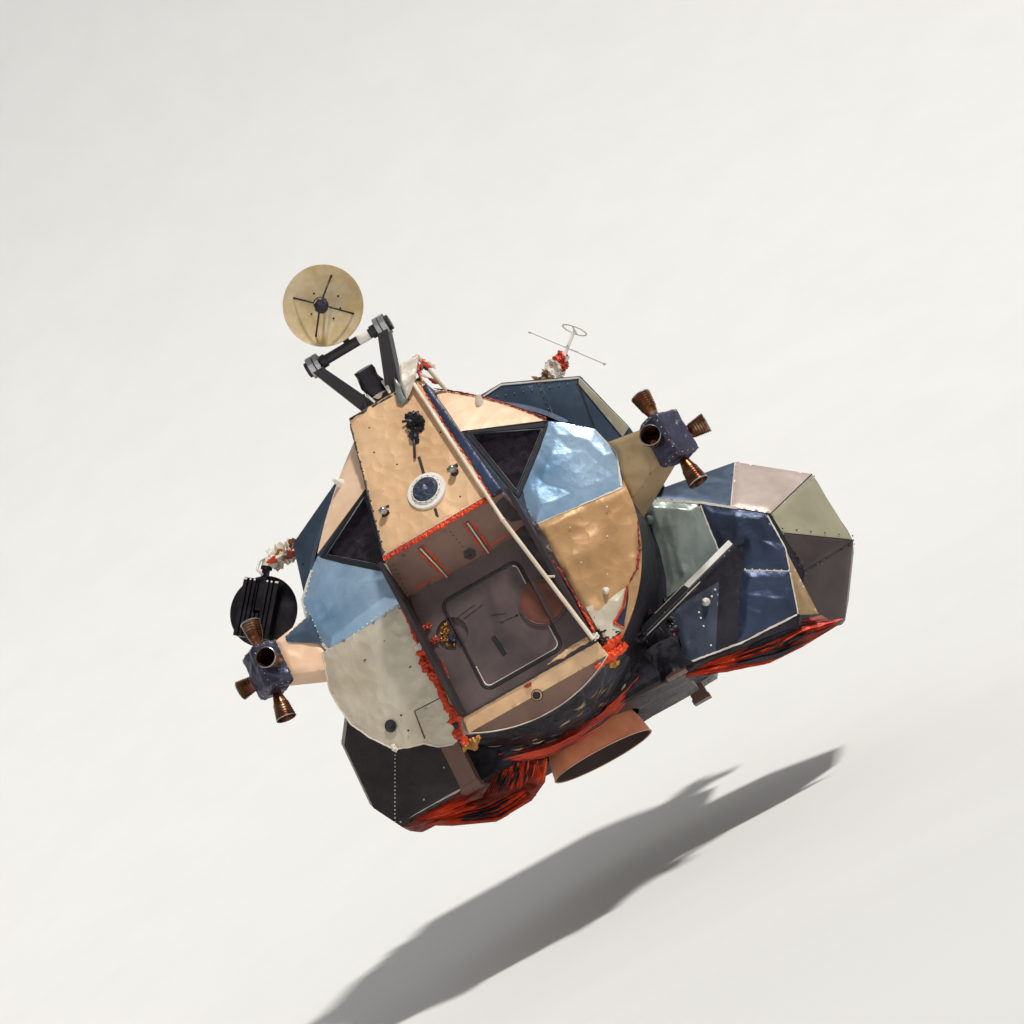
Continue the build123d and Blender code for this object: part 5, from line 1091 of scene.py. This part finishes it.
band("cheek_starboard_edge", CHEEK_STARBOARD, [APRON[:-2]], 0.016, 0.01, TAPE, ragged=0.8, step=0.02, thick=0.005)
band("cheek_starboard_seam", CHEEK_STARBOARD, [[(-0.845, 0.575), (-0.59, 0.555)], [(-0.845, 0.575), (-0.871, 0.37)]],
     0.026, 0.007, DARK_TAPE, ragged=0.4, step=0.02, thick=0.003)
patch("patch_cheek_starboard", CHEEK_STARBOARD,
      [(-0.845, 0.565), (-0.6, 0.552), (-0.6, 0.3), (-0.72, 0.335), (-0.86, 0.4)], 0.024, CREAM, rise=0.006, seed=85)
roll("cheek_port_orange", CHEEK, [(0.9, 0.6), (0.8, 0.48), (0.695, 0.415), (0.735, 0.345)], 0.056, 0.014, 0.01,
     ORANGE, rough=0.5, step=0.01)
patch("cheek_port_slate", CHEEK, [(0.91, 0.605), (0.865, 0.52), (0.76, 0.385), (0.74, 0.35), (0.71, 0.415),
                                  (0.815, 0.475)], 0.05, NAVY, rise=0.012, wave=0.1, seed=86, grid=0.012)
roll("cheek_port_edge", CHEEK, [(1.19, 0.98), (1.1, 0.79), (1.02, 0.68), (0.9, 0.6)], 0.04, (0.008, 0.016, 0.012),
     0.012, BRICK, rough=0.9, pitch=40)
rivets("blue_starboard_rivets", WINDOW_STARBOARD,
       [[(-0.66, 1.315), (-1.2, 1.27)], [(-1.225, 1.3), (-1.287, 1.505), (-1.24, 1.72), (-1.08, 1.88)]],
       0.01, 0.045, 0.006, WHITE_PAINT)
studs("cheek_port_studs", at(CHEEK, [(0.75, 1.16), (1.05, 1.17), (0.7, 0.9), (0.82, 0.74), (0.95, 0.98)], 0.036),
      CHEEK[1], 0.007, TAPE)

# Sill and belly: the knob's cap, the thin edge of the lip, black crinkled skirt, and the torn orange rim below it
KNOB = on(SILL, -0.01, 0.23)
lathe("sill_knob", KNOB, SILL[1], [(0.041, 0.001), (0.041, 0.01), (0.036, 0.013), (0.0365, 0.013)], DARK_METAL,
      steps=32)
lathe("sill_knob_cap", KNOB + SILL[1] * 0.028, SILL[1],
      [(0.027, -0.014), (0.029, 0), (0.024, 0.005), (0.013, 0.003), (0.001, 0.004)], DARK_METAL, steps=32)
band("sill_top", SILL, [[(-0.545, 0.346), (0.545, 0.346)]], 0.004, 0.014, DARK_TAPE, ragged=0.5, step=0.02,
     thick=0.006)


BELLY_MIDDLE_Z, BELLY_RADIUS = 1.35, 1.25


def rim_z(x):
    """Height of the round belly at a distance from the centre plane."""
    return BELLY_MIDDLE_Z - (BELLY_RADIUS ** 2 - x ** 2) ** 0.5


def skirt(u, v):
    """A place on the skirt under the belly: u across it, v from its front edge back."""
    x = -0.55 + 1.15 * u
    return Vector((x, -1.6 + 0.55 * v, rim_z(x) - 0.078 - 0.03 * v))


tube("lip_edge", [Vector((x, -1.609 - 0.085 * max(0, (rim_z(x) - 0.1) / 0.1325), rim_z(x) - 0.002))
                  for x in (0.02 * i for i in range(-28, 29))], 0.0045, TAPE, sides=8)
studs("lip_studs", [(x, -1.67, rim_z(x) + 0.05) for x in (-0.45, 0.45)], FRONT, 0.006, DARK_METAL)
blanket("skirt", lambda u, v: Vector((u, v, rim_z(u) - 0.012 - 0.05 * min(1, (v + 1.6) / 0.25))),
        [0.66 - 0.015 * i for i in range(89)], [-1.6 + 0.015 * i for i in range(61)], BLACK, 0.055, 0.1, 50)
for name, finish, seed in (("pale", KHAKI, 61), ("gold", GOLD, 62), ("dark", SLATE, 63)):
    strands(f"skirt_scraps_{name}", skirt, 8, 0.009, finish, seed, length=(0.03, 0.09))
RIM_LENGTH = 1.35
RIM_HALF = [(0.2, -0.7, 0.035), (0.36, -0.7, 0.065), (0.5, -0.7, 0.105), (0.62, -0.7, 0.15)]
RIM_PATH = [(-x, y, z) for x, y, z in RIM_HALF[::-1]] + [(0, -0.7, 0.025)] + RIM_HALF
blanket("belly_rim", lambda u, v: along(RIM_PATH, u / RIM_LENGTH) + Vector((0, v, -0.5 * v)),
        [RIM_LENGTH * i / 90 for i in range(91)], [-0.03 + 0.012 * i for i in range(8)], ORANGE, 0.022, 0.05, 74)
for name, count, width, finish, seed in (("torn", 9, 0.022, ORANGE, 70), ("dark", 5, 0.018, BRICK, 71),
                                         ("gaps", 4, 0.014, BLACK, 72)):
    strands(f"belly_rim_{name}", lambda u, v: along(RIM_PATH, u) + Vector((0, -0.05 + 0.09 * v, -0.018 - 0.03 * v)),
            count, width, finish, seed, bend=0.3, length=(0.2, 0.6))
patch("bay_front", MID_FRONT, [(-0.62, 0.1), (0.9, 0.1), (0.9, 0.4), (-0.62, 0.4)], 0.02, BLACK, rise=0.02, wave=0.15,
      seed=87)

# Feet: light edges on the starboard one, dark crumpled foil round the port one
FOOT_X, FOOT_Y = 0.872, 0.9
tube("foot_line", [(-0.926, -0.958, 0.128), (-0.818, -0.958, 0.132)], 0.004, TAPE)
tube("foot_edge_inner", [(-0.812, -0.956, 0.36), (-0.806, -0.956, 0.02)], 0.005, TAUPE)
for name, height, radius, seed in (("foot_wrap_high", 0.24, 0.15, 80), ("foot_wrap_low", 0.02, 0.165, 81)):
    blanket(name, lambda u, v: Vector((FOOT_X + (radius - 0.03 * sin(v * 14)) * cos(-u / radius),
                                       -FOOT_Y + (radius - 0.03 * sin(v * 14)) * sin(-u / radius), height + v)),
            [radius * radians(6 * i) for i in range(61)], [0.012 * i for i in range(20)], BLACK, 0.04, 0.09, seed,
            folds=9)
for i, side in enumerate((1, -1)):
    tube(f"foot_line_aft_{i}", [(side * (FOOT_X + out), FOOT_Y + 0.058, 0.13) for out in (0.054, -0.054)], 0.004,
         TAPE)

# Torn orange foil that hangs under the bulges: a dark sheet with long streaks of torn foil over it.
# Columns: name, count, width, finish, seed, then the two edges that the streaks run along, as x, y, z
UNDERSIDES = [
    ("under_high", 22, 0.02, ORANGE, 90, [(-0.6, -0.62, 0.155), (-0.74, -0.6, 0.06), (-0.9, -0.56, -0.04)],
     [(-0.42, -0.62, 0.05), (-0.5, -0.6, -0.05), (-0.56, -0.55, -0.14)]),
    ("under_high_dark", 9, 0.022, BLACK, 91, [(-0.61, -0.625, 0.14), (-0.78, -0.605, 0.02), (-0.88, -0.575, -0.04)],
     [(-0.42, -0.625, 0.04), (-0.5, -0.605, -0.07), (-0.58, -0.575, -0.14)]),
    ("under_middle", 6, 0.022, ORANGE, 92, [(-0.4, -0.61, 0.03), (-0.55, -0.58, -0.15)],
     [(-0.31, -0.61, -0.01), (-0.44, -0.58, -0.17)]),
    ("under_low", 20, 0.022, ORANGE, 93, [(-0.6, -0.52, -0.1), (-0.92, -0.52, -0.1), (-1.28, -0.56, -0.01)],
     [(-0.56, -0.47, -0.2), (-0.88, -0.47, -0.225), (-1.32, -0.54, -0.05)]),
    ("under_low_brick", 10, 0.026, BRICK, 94, [(-0.56, -0.51, -0.12), (-0.88, -0.5, -0.11), (-1.2, -0.54, -0.03)],
     [(-0.52, -0.46, -0.19), (-0.86, -0.46, -0.222), (-1.28, -0.52, -0.06)]),
    ("under_low_dark", 6, 0.018, BLACK, 95, [(-0.6, -0.53, -0.11), (-0.95, -0.53, -0.1), (-1.2, -0.57, -0.02)],
     [(-0.58, -0.48, -0.19), (-0.88, -0.48, -0.215), (-1.25, -0.55, -0.06)]),
    ("under_keel", 14, 0.022, ORANGE, 96, [(-0.98, -0.655, 0.03), (-1.25, -0.655, 0.055), (-1.5, -0.65, 0.075)],
     [(-0.93, -0.6, -0.09), (-1.2, -0.6, -0.03), (-1.42, -0.62, 0.03)]),
    ("port_keel", 16, 0.03, ORANGE, 97,
     [(2.13, -0.62, -0.16), (1.85, -0.62, -0.035), (1.56, -0.62, -0.05), (1.28, -0.62, -0.02), (0.95, -0.62, 0.07)],
     [(2.15, -0.58, -0.225), (1.83, -0.56, -0.225), (1.5, -0.56, -0.2), (1.2, -0.58, -0.1), (0.9, -0.6, 0)]),
    ("port_keel_brick", 12, 0.032, BRICK, 98,
     [(2.1, -0.61, -0.17), (1.85, -0.61, -0.05), (1.56, -0.61, -0.06), (1.28, -0.61, -0.03), (0.95, -0.61, 0.06)],
     [(2.1, -0.57, -0.225), (1.83, -0.55, -0.225), (1.5, -0.55, -0.2), (1.2, -0.57, -0.1), (0.9, -0.59, 0)]),
    ("port_keel_dark", 7, 0.034, BLACK, 99, [(2, -0.63, -0.09), (1.7, -0.63, -0.05), (1.28, -0.63, -0.02)],
     [(1.95, -0.6, -0.21), (1.6, -0.6, -0.2), (1.15, -0.62, -0.06)]),
]
for name, count, width, finish, seed, first, second in UNDERSIDES:
    strands(name, between(first, second), count, width, finish, seed)
# Columns: name, distance in front, seed, outline in the front view
UNDER_SHEETS = [
    ("under_sheet", 0.43, 100, [(-0.66, 0.155), (-0.44, 0.085), (-0.34, 0.01), (-0.44, -0.14), (-0.6, -0.215),
                                (-0.92, -0.225), (-1.24, -0.09), (-1.46, 0.03), (-1.14, 0.03), (-0.94, -0.01)]),
    ("under_sheet_port", 0.565, 101, [(2.02, -0.08), (1.85, -0.02), (0.95, 0.06), (0.9, 0.01), (1.2, -0.09),
                                      (1.5, -0.19), (1.83, -0.215), (2.08, -0.205)]),
]
for name, front, seed, outline in UNDER_SHEETS:
    patch(name, (Vector((0, -front, 0)), FRONT), outline, 0, BRICK, rise=0.035, wave=0.08, grid=0.012, seed=seed,
          folds=8, rim=0.03)
studs("stitches", spaced([(-1.338, -0.668, 0.6), (-1.58, -0.668, 0.12)], 0.03), FRONT, 0.007, TAPE, tall=0.9, sides=6)
studs("starboard_glints", [(-1.3, -0.668, 0.16), (-1.05, -0.668, 0.3)], FRONT, 0.007, TAPE)

# Port bulge: rivet rows and the small cone in its upper corner
studs("bulge_rivets", [(x, -0.675, z) for x, z in ((1.236, 0.375), (1.226, 0.33), (1.214, 0.266), (1.204, 0.184),
                                                   (1.191, 0.112), (1.427, 0.465), (1.38, 0.433))], FRONT, 0.008,
      WHITE_PAINT)
studs("bulge_rivet_rows", spaced([(1.7, -0.67, 0.49), (1.975, -0.67, 0.318)], 0.055)
      + spaced([(1.345, -0.67, 1.345), (1.655, -0.67, 1.125), (1.88, -0.67, 0.94)], 0.07), FRONT, 0.006, WHITE_PAINT)
lathe("bulge_cone", (1.259, -0.69, 1.193), (0, -1, 0.15), [(0.03, -0.03), (0.034, 0), (0.03, 0.02), (0.004, 0.07)],
      SAGE, steps=28)


def strip(share, up, lift=0.001):
    """A point on the loose angle's web, at a share of its length and a height."""
    start, end = Vector((0.765, -1.1, 0.314)), Vector((1.725, -1.1, 0.584))
    return start.lerp(end, share) + Vector((-0.2707, 0, 0.9627)) * up + Vector((0, -lift, 0))


# The loose angle: a white sheet on the upper part of the outer half of its web, a painted highlight where sunlight
# falls on it, and thin light edges that are painted highlights too
skin("strip_painted_highlight", [[strip(0.53, 0.03), strip(0.985, 0.03), strip(0.985, 0.073), strip(0.52, 0.073)]], FRONT,
     WHITE_PAINT, rise=0.002, wave=0.15, seed=160, grid=0.012)
tape("strip_band", [[strip(0.985, 0.022), strip(0.06, 0.022)]], FRONT, 0.006, GREY_METAL)
tube("strip_highlight_low", [strip(0.02, 0.002), strip(0.62, 0.002)], 0.004, TAPE)
tube("strip_highlight_high", [strip(0.22, 0.074), strip(0.52, 0.074)], 0.003, TAPE)
studs("strip_screws", [strip(0.93, 0.014), strip(0.88, 0.012), strip(0.5, 0.012), strip(0.28, 0.03)], FRONT, 0.006,
      STEEL)
lump("strip_foot", strip(0.03, 0.035, 0.01), (0.05, 0.03, 0.04), BLACK, rough=0.7, seed=161)
crumple("bulge_inner_edge", [(0.93, -0.66, 0.1), (1.045, -0.66, 0.5), (1.06, -0.66, 0.6)], (0.03, 0.06, 0.03), 0.04,
        BLACK, rough=0.8, seed=120)
crumple("bulge_inner_red", [(0.9, -0.68, 0.09), (0.96, -0.68, 0.24), (1, -0.68, 0.36)], (0.012, 0.03, 0.012), 0.02,
        BRICK, rough=0.9, seed=121)

# Radar head, in a frame tilted back with the pedestal
TILT = radians(18)
HEAD = Vector((-0.035, -1.78, 3.23))
BORE = Vector((0, -cos(TILT), -sin(TILT)))


def head(x, y, z):
    """A point of the radar head, given across, along the boresight and up in its own frame."""
    return HEAD + Vector((x, y * cos(TILT) - z * sin(TILT), y * sin(TILT) + z * cos(TILT)))


DISH_MIDDLE, STRUT_OUT = 0.34, 0.235
for turn in (45, 135, 225, 315):
    c, s = cos(radians(turn)), sin(radians(turn))
    tube(f"feed_strut_{turn}", [head(STRUT_OUT * c, -0.0955, DISH_MIDDLE + STRUT_OUT * s),
                                head(0.03 * c, -0.203, DISH_MIDDLE + 0.03 * s)], 0.007, BLACK_PAINT, "radar_dish")
    studs(f"feed_foot_{turn}", [head(STRUT_OUT * c, -0.092, DISH_MIDDLE + STRUT_OUT * s)], BORE, 0.014, DARK_METAL,
          "radar_dish")
lump("feed_hub", head(0, -0.205, 0.335), (0.055, 0.034, 0.068), BLACK, "radar_dish", rough=0.12, seed=130)
studs("dish_dots", [head(x, -0.071, DISH_MIDDLE + z) for x, z in ((-0.08, 0.086), (-0.113, 0), (0.128, 0.011),
                                                            (0.096, -0.075), (0.014, -0.114), (-0.02, 0.12))],
      BORE, 0.008, DARK_METAL, "radar_dish")
for side in (-1, 1):
    for first, last in ((0.247, 0.285), (0.29, 0.338)):
        lathe(f"cap_sleeve_{side + 1}_{round(first * 1000)}", HEAD + Vector((side * first, 0, 0)), (side, 0, 0),
              [(0.0805, 0), (0.0845, 0.004), (0.0845, last - first - 0.004), (0.0805, last - first)], SILVER,
              steps=48)
lathe("tube_wrap", HEAD + Vector((0.085, 0, 0)), (1, 0, 0),
      [(0.0385, 0), (0.0405, 0.002), (0.0405, 0.093), (0.0385, 0.095)], WHITE_PAINT)
crumple("pedestal_post", [(-0.035, -1.53, 2.86), (-0.035, -1.6, 2.95), (-0.035, -1.67, 3.06)], (0.15, 0.18, 0.16),
        0.13, BLACK, up=(0, -1, 0.3), rough=0.12, seed=134, pitch=8, sides=20)
for letter, seed, corners in (
        ("a", 135, ((-0.118, -1.62, 2.884), (-0.1, -1.62, 2.89), (-0.072, -1.61, 2.8), (-0.088, -1.61, 2.795))),
        ("b", 136, ((0.035, -1.62, 2.925), (0.075, -1.62, 2.915), (0.066, -1.61, 2.8), (0.046, -1.61, 2.8)))):
    skin(f"pedestal_sliver_{letter}", [[Vector(p) for p in corners]], FRONT, WHITE_FOIL, rise=0.006, wave=0.05,
         seed=seed, grid=0.008)
lathe("pedestal_ring", (-0.035, -1.525, 2.835), (0, -0.31, 0.95),
      [(0.07, 0), (0.078, 0.004), (0.078, 0.04), (0.07, 0.046), (0.06, 0.046)], CREAM_PAINT)
crumple("pedestal_white", [(0.1, -1.6, 2.9), (0.16, -1.62, 2.955), (0.15, -1.63, 3.01)], (0.03, 0.05, 0.02), 0.03,
        WHITE_FOIL, rough=0.8, seed=131)
for i, (start, end) in enumerate([((-0.16, -1.6, 2.8), (-0.13, -1.63, 2.9)), ((0.08, -1.6, 2.8), (0.09, -1.63, 2.9)),
                                  ((0.2, -1.6, 2.8), (0.24, -1.62, 2.86))]):
    bar(f"pedestal_bracket_{i}", start, end, 0.022, 0.016, BLACK_PAINT)
patch("nose_top_foil", (Vector((0, -1.675, 0)), FRONT), [(0.38, 2.925), (0.219, 2.935), (0.165, 2.794), (0.15, 2.66),
                                                         (0.209, 2.7), (0.3, 2.79)], 0, WHITE_FOIL, rise=0.04,
      wave=0.07, seed=132, grid=0.008, folds=8, rim=0.02)
patch("nose_top_green", (Vector((0, -1.665, 0)), FRONT), [(0.143, 2.875), (0.161, 2.79), (0.15, 2.66), (0.103, 2.64),
                                                          (0.075, 2.69)], 0, SAGE, rise=0.02, wave=0.08, seed=133,
      grid=0.01, rim=0.02)
# Torn leaves at the nose's top corner. Columns: width, finish, path in the front view
APEX = [
    (0.05, ORANGE, [(0.385, 2.915), (0.4, 2.86), (0.425, 2.79)]), (0.04, BRICK, [(0.372, 2.885), (0.355, 2.82)]),
    (0.035, WHITE_FOIL, [(0.4, 2.88), (0.43, 2.83), (0.45, 2.77)]), (0.035, BLACK, [(0.375, 2.85), (0.39, 2.79)]),
    (0.04, WHITE_FOIL, [(0.3, 2.93), (0.34, 2.945), (0.385, 2.93)]),
    (0.035, ORANGE, [(0.354, 2.905), (0.33, 2.82), (0.314, 2.74)]), (0.028, BLACK, [(0.345, 2.88), (0.31, 2.76)]),
    (0.028, BRICK, [(0.368, 2.73), (0.412, 2.64)]), (0.028, WHITE_FOIL, [(0.33, 2.8), (0.39, 2.7)]),
]
for i, (width, finish, path) in enumerate(APEX):
    blade(f"apex_foil_{i}", [(x, -1.62 - 0.2 * (2.92 - z), z) for x, z in path], width, finish, 170 + i)

# Thrusters: foil round the housings and fairings, rivets along the housings' edges, turned ribs round every nozzle
WRAPS = {"thruster_housing": {"rise": 0.026, "wave": 0.07, "grid": 0.009, "folds": 9, "rim": 0.014},
         "thruster_fairing": {"rise": 0.028, "wave": 0.16, "grid": 0.02, "folds": 7, "rim": 0.03}}
for node_name, node in sorted(NODES.items()):
    kind = "_".join(node_name.split("_")[:2])
    if kind not in WRAPS:
        continue
    seen = {}
    for face in node.data.polygons:
        key = tuple(round(c, 1) for c in face.normal)
        seen[key] = seen.get(key, 0) + face.area
    for i, (key, area) in enumerate(sorted(seen.items(), key=lambda pair: (-pair[1], pair[0]))[:6]):
        if area < 0.02:
            continue
        loops, normal = facet(node_name, key)
        if len(loops[0]) < 3 or span(loops[0]) < 0.5:
            continue
        skin(f"wrap_{node_name}_{i}", loops, normal, node.data.materials[0], seed=200 + i, **WRAPS[kind])
        if kind == "thruster_housing":
            studs(f"wrap_studs_{node_name}_{i}", spaced(close(loops[0]), 0.06), normal, 0.005, TAPE, tall=0.8,
                  sides=6)
TRIANGLE = [(-1.48, 1.525), (-1.25, 1.605), (-1.255, 1.36), (-1.47, 1.48)]
patch("fairing_triangle", FAIRING, TRIANGLE, 0.032, STEEL_BLUE, wave=0.12, grid=0.012, seed=110)
rivets("fairing_triangle_studs", FAIRING, [TRIANGLE[:3]], 0.032, 0.05, 0.006, WHITE_PAINT)
QUAD_Z, MOUTH_OUT, MOUTH_IN = 1.372, 1.965, 1.569
NOZZLES = []
for sx in (-1, 1):
    for sy in (-1, 1):
        for up in (-1, 1):
            out = 1.679 - 0.021 * up
            NOZZLES.append(((sx * out, sy * out, QUAD_Z + 0.39 * up), (-0.055 * up * sx, -0.055 * up * sy, up)))
        NOZZLES.append(((sx * MOUTH_IN, sy * MOUTH_OUT, QUAD_Z), (0, sy, 0)))
        NOZZLES.append(((sx * MOUTH_OUT, sy * MOUTH_IN, QUAD_Z), (sx, 0, 0)))
MOUTH_RADIUS, LAST_RIB_RADIUS, LAST_RIB = 0.073, 0.056, 0.112
for i, (mouth, axis) in enumerate(NOZZLES):
    axis = Vector(axis).normalized()
    for k, back in enumerate((0, 0.018, 0.036, 0.055, 0.075, 0.096, LAST_RIB)):
        radius = MOUTH_RADIUS - (MOUTH_RADIUS - LAST_RIB_RADIUS) * back / LAST_RIB
        lathe(f"nozzle_rib_{i}_{k}", Vector(mouth) - axis * back, axis,
              [(radius - 0.001, -0.005), (radius + 0.003, -0.002), (radius + 0.003, 0.002), (radius - 0.001, 0.005)],
              BRONZE if k else STEEL, steps=32)

# Engine bell: the rolled edge of its mouth
BELL_MOUTH_Z, BELL_MOUTH_RADIUS = -0.1245, 0.4315
bell_mouth = arc(Vector((0, 0, BELL_MOUTH_Z)), BELL_MOUTH_RADIUS, 0, 360, 4, Vector((0, 0, 1)))
tube("bell_lip", bell_mouth, 0.006, COPPER_EDGE, closed=True)

# Steerable antenna on its boom, and the wrapped foot of the VHF mast
crumple("boom_foil", [(-1.33, -0.45, 2.535), (-1.42, -0.45, 2.55), (-1.53, -0.45, 2.555), (-1.64, -0.45, 2.565)],
        (0.19, 0.17, 0.15, 0.11), 0.15, WHITE_FOIL, up=(0, -0.6, 0.8), rough=0.5, seed=140, sides=20, pitch=22)
for i, (start, end, width, finish) in enumerate([
        ((-1.35, 2.51), (-1.47, 2.53), 0.07, ORANGE), ((-1.38, 2.48), (-1.52, 2.5), 0.05, BRICK),
        ((-1.46, 2.55), (-1.58, 2.56), 0.05, GOLD), ((-1.55, 2.52), (-1.66, 2.55), 0.05, ORANGE),
        ((-1.34, 2.58), (-1.44, 2.6), 0.05, GOLD), ((-1.4, 2.56), (-1.5, 2.54), 0.04, BLACK)]):
    blade(f"boom_leaf_{i}", [(start[0], -0.53, start[1]), (end[0], -0.52, end[1])], width, finish, 180 + i)
tube("boom_bracket", [(-1.66, -0.5, 2.6), (-1.71, -0.5, 2.597), (-1.762, -0.5, 2.545), (-1.739, -0.5, 2.477)],
     0.012, WHITE_PAINT)
# White ticks along the plate: painted highlights where the ends of its fins catch light
PLATE = Vector((-1.907, -0.511, 2.253))
studs("plate_tick_highlights", [PLATE + Vector((0.8, 0, -0.6)) * x + Vector((0.6, 0, 0.8)) * 0.232
                      for x in (-0.146, -0.133, -0.095, -0.057, 0.057, 0.095, 0.133, 0.148)], FRONT, 0.009,
      WHITE_PAINT, "antenna_dish")
for i, (start, end, widths, finish) in enumerate([
        ((0.98, -0.3, 2.69), (1.14, -0.3, 2.78), (0.17, 0.18, 0.16), GOLD),
        ((1.12, -0.3, 2.77), (1.24, -0.3, 2.84), (0.15, 0.16, 0.12), WHITE_FOIL),
        ((1.2, -0.3, 2.81), (1.33, -0.3, 2.89), (0.12, 0.13, 0.09), ORANGE)]):
    crumple(f"mast_foil_{i}", [start, Vector(start).lerp(Vector(end), 0.5) + Vector((0, -0.01, 0.01)), end], widths,
            0.15 - 0.02 * i, finish, up=(0, -0.8, 0.5), rough=0.5, seed=150 + i, sides=18, pitch=22)

# Midsection: rivets along its seams
studs("mid_rivets", spaced([(1.03, -0.695, 2.62), (0.965, -0.695, 2.12)], 0.06)
      + spaced([(0.62, -0.695, 2.74), (1.3, -0.695, 2.47)], 0.08), FRONT, 0.007, GREY_METAL)
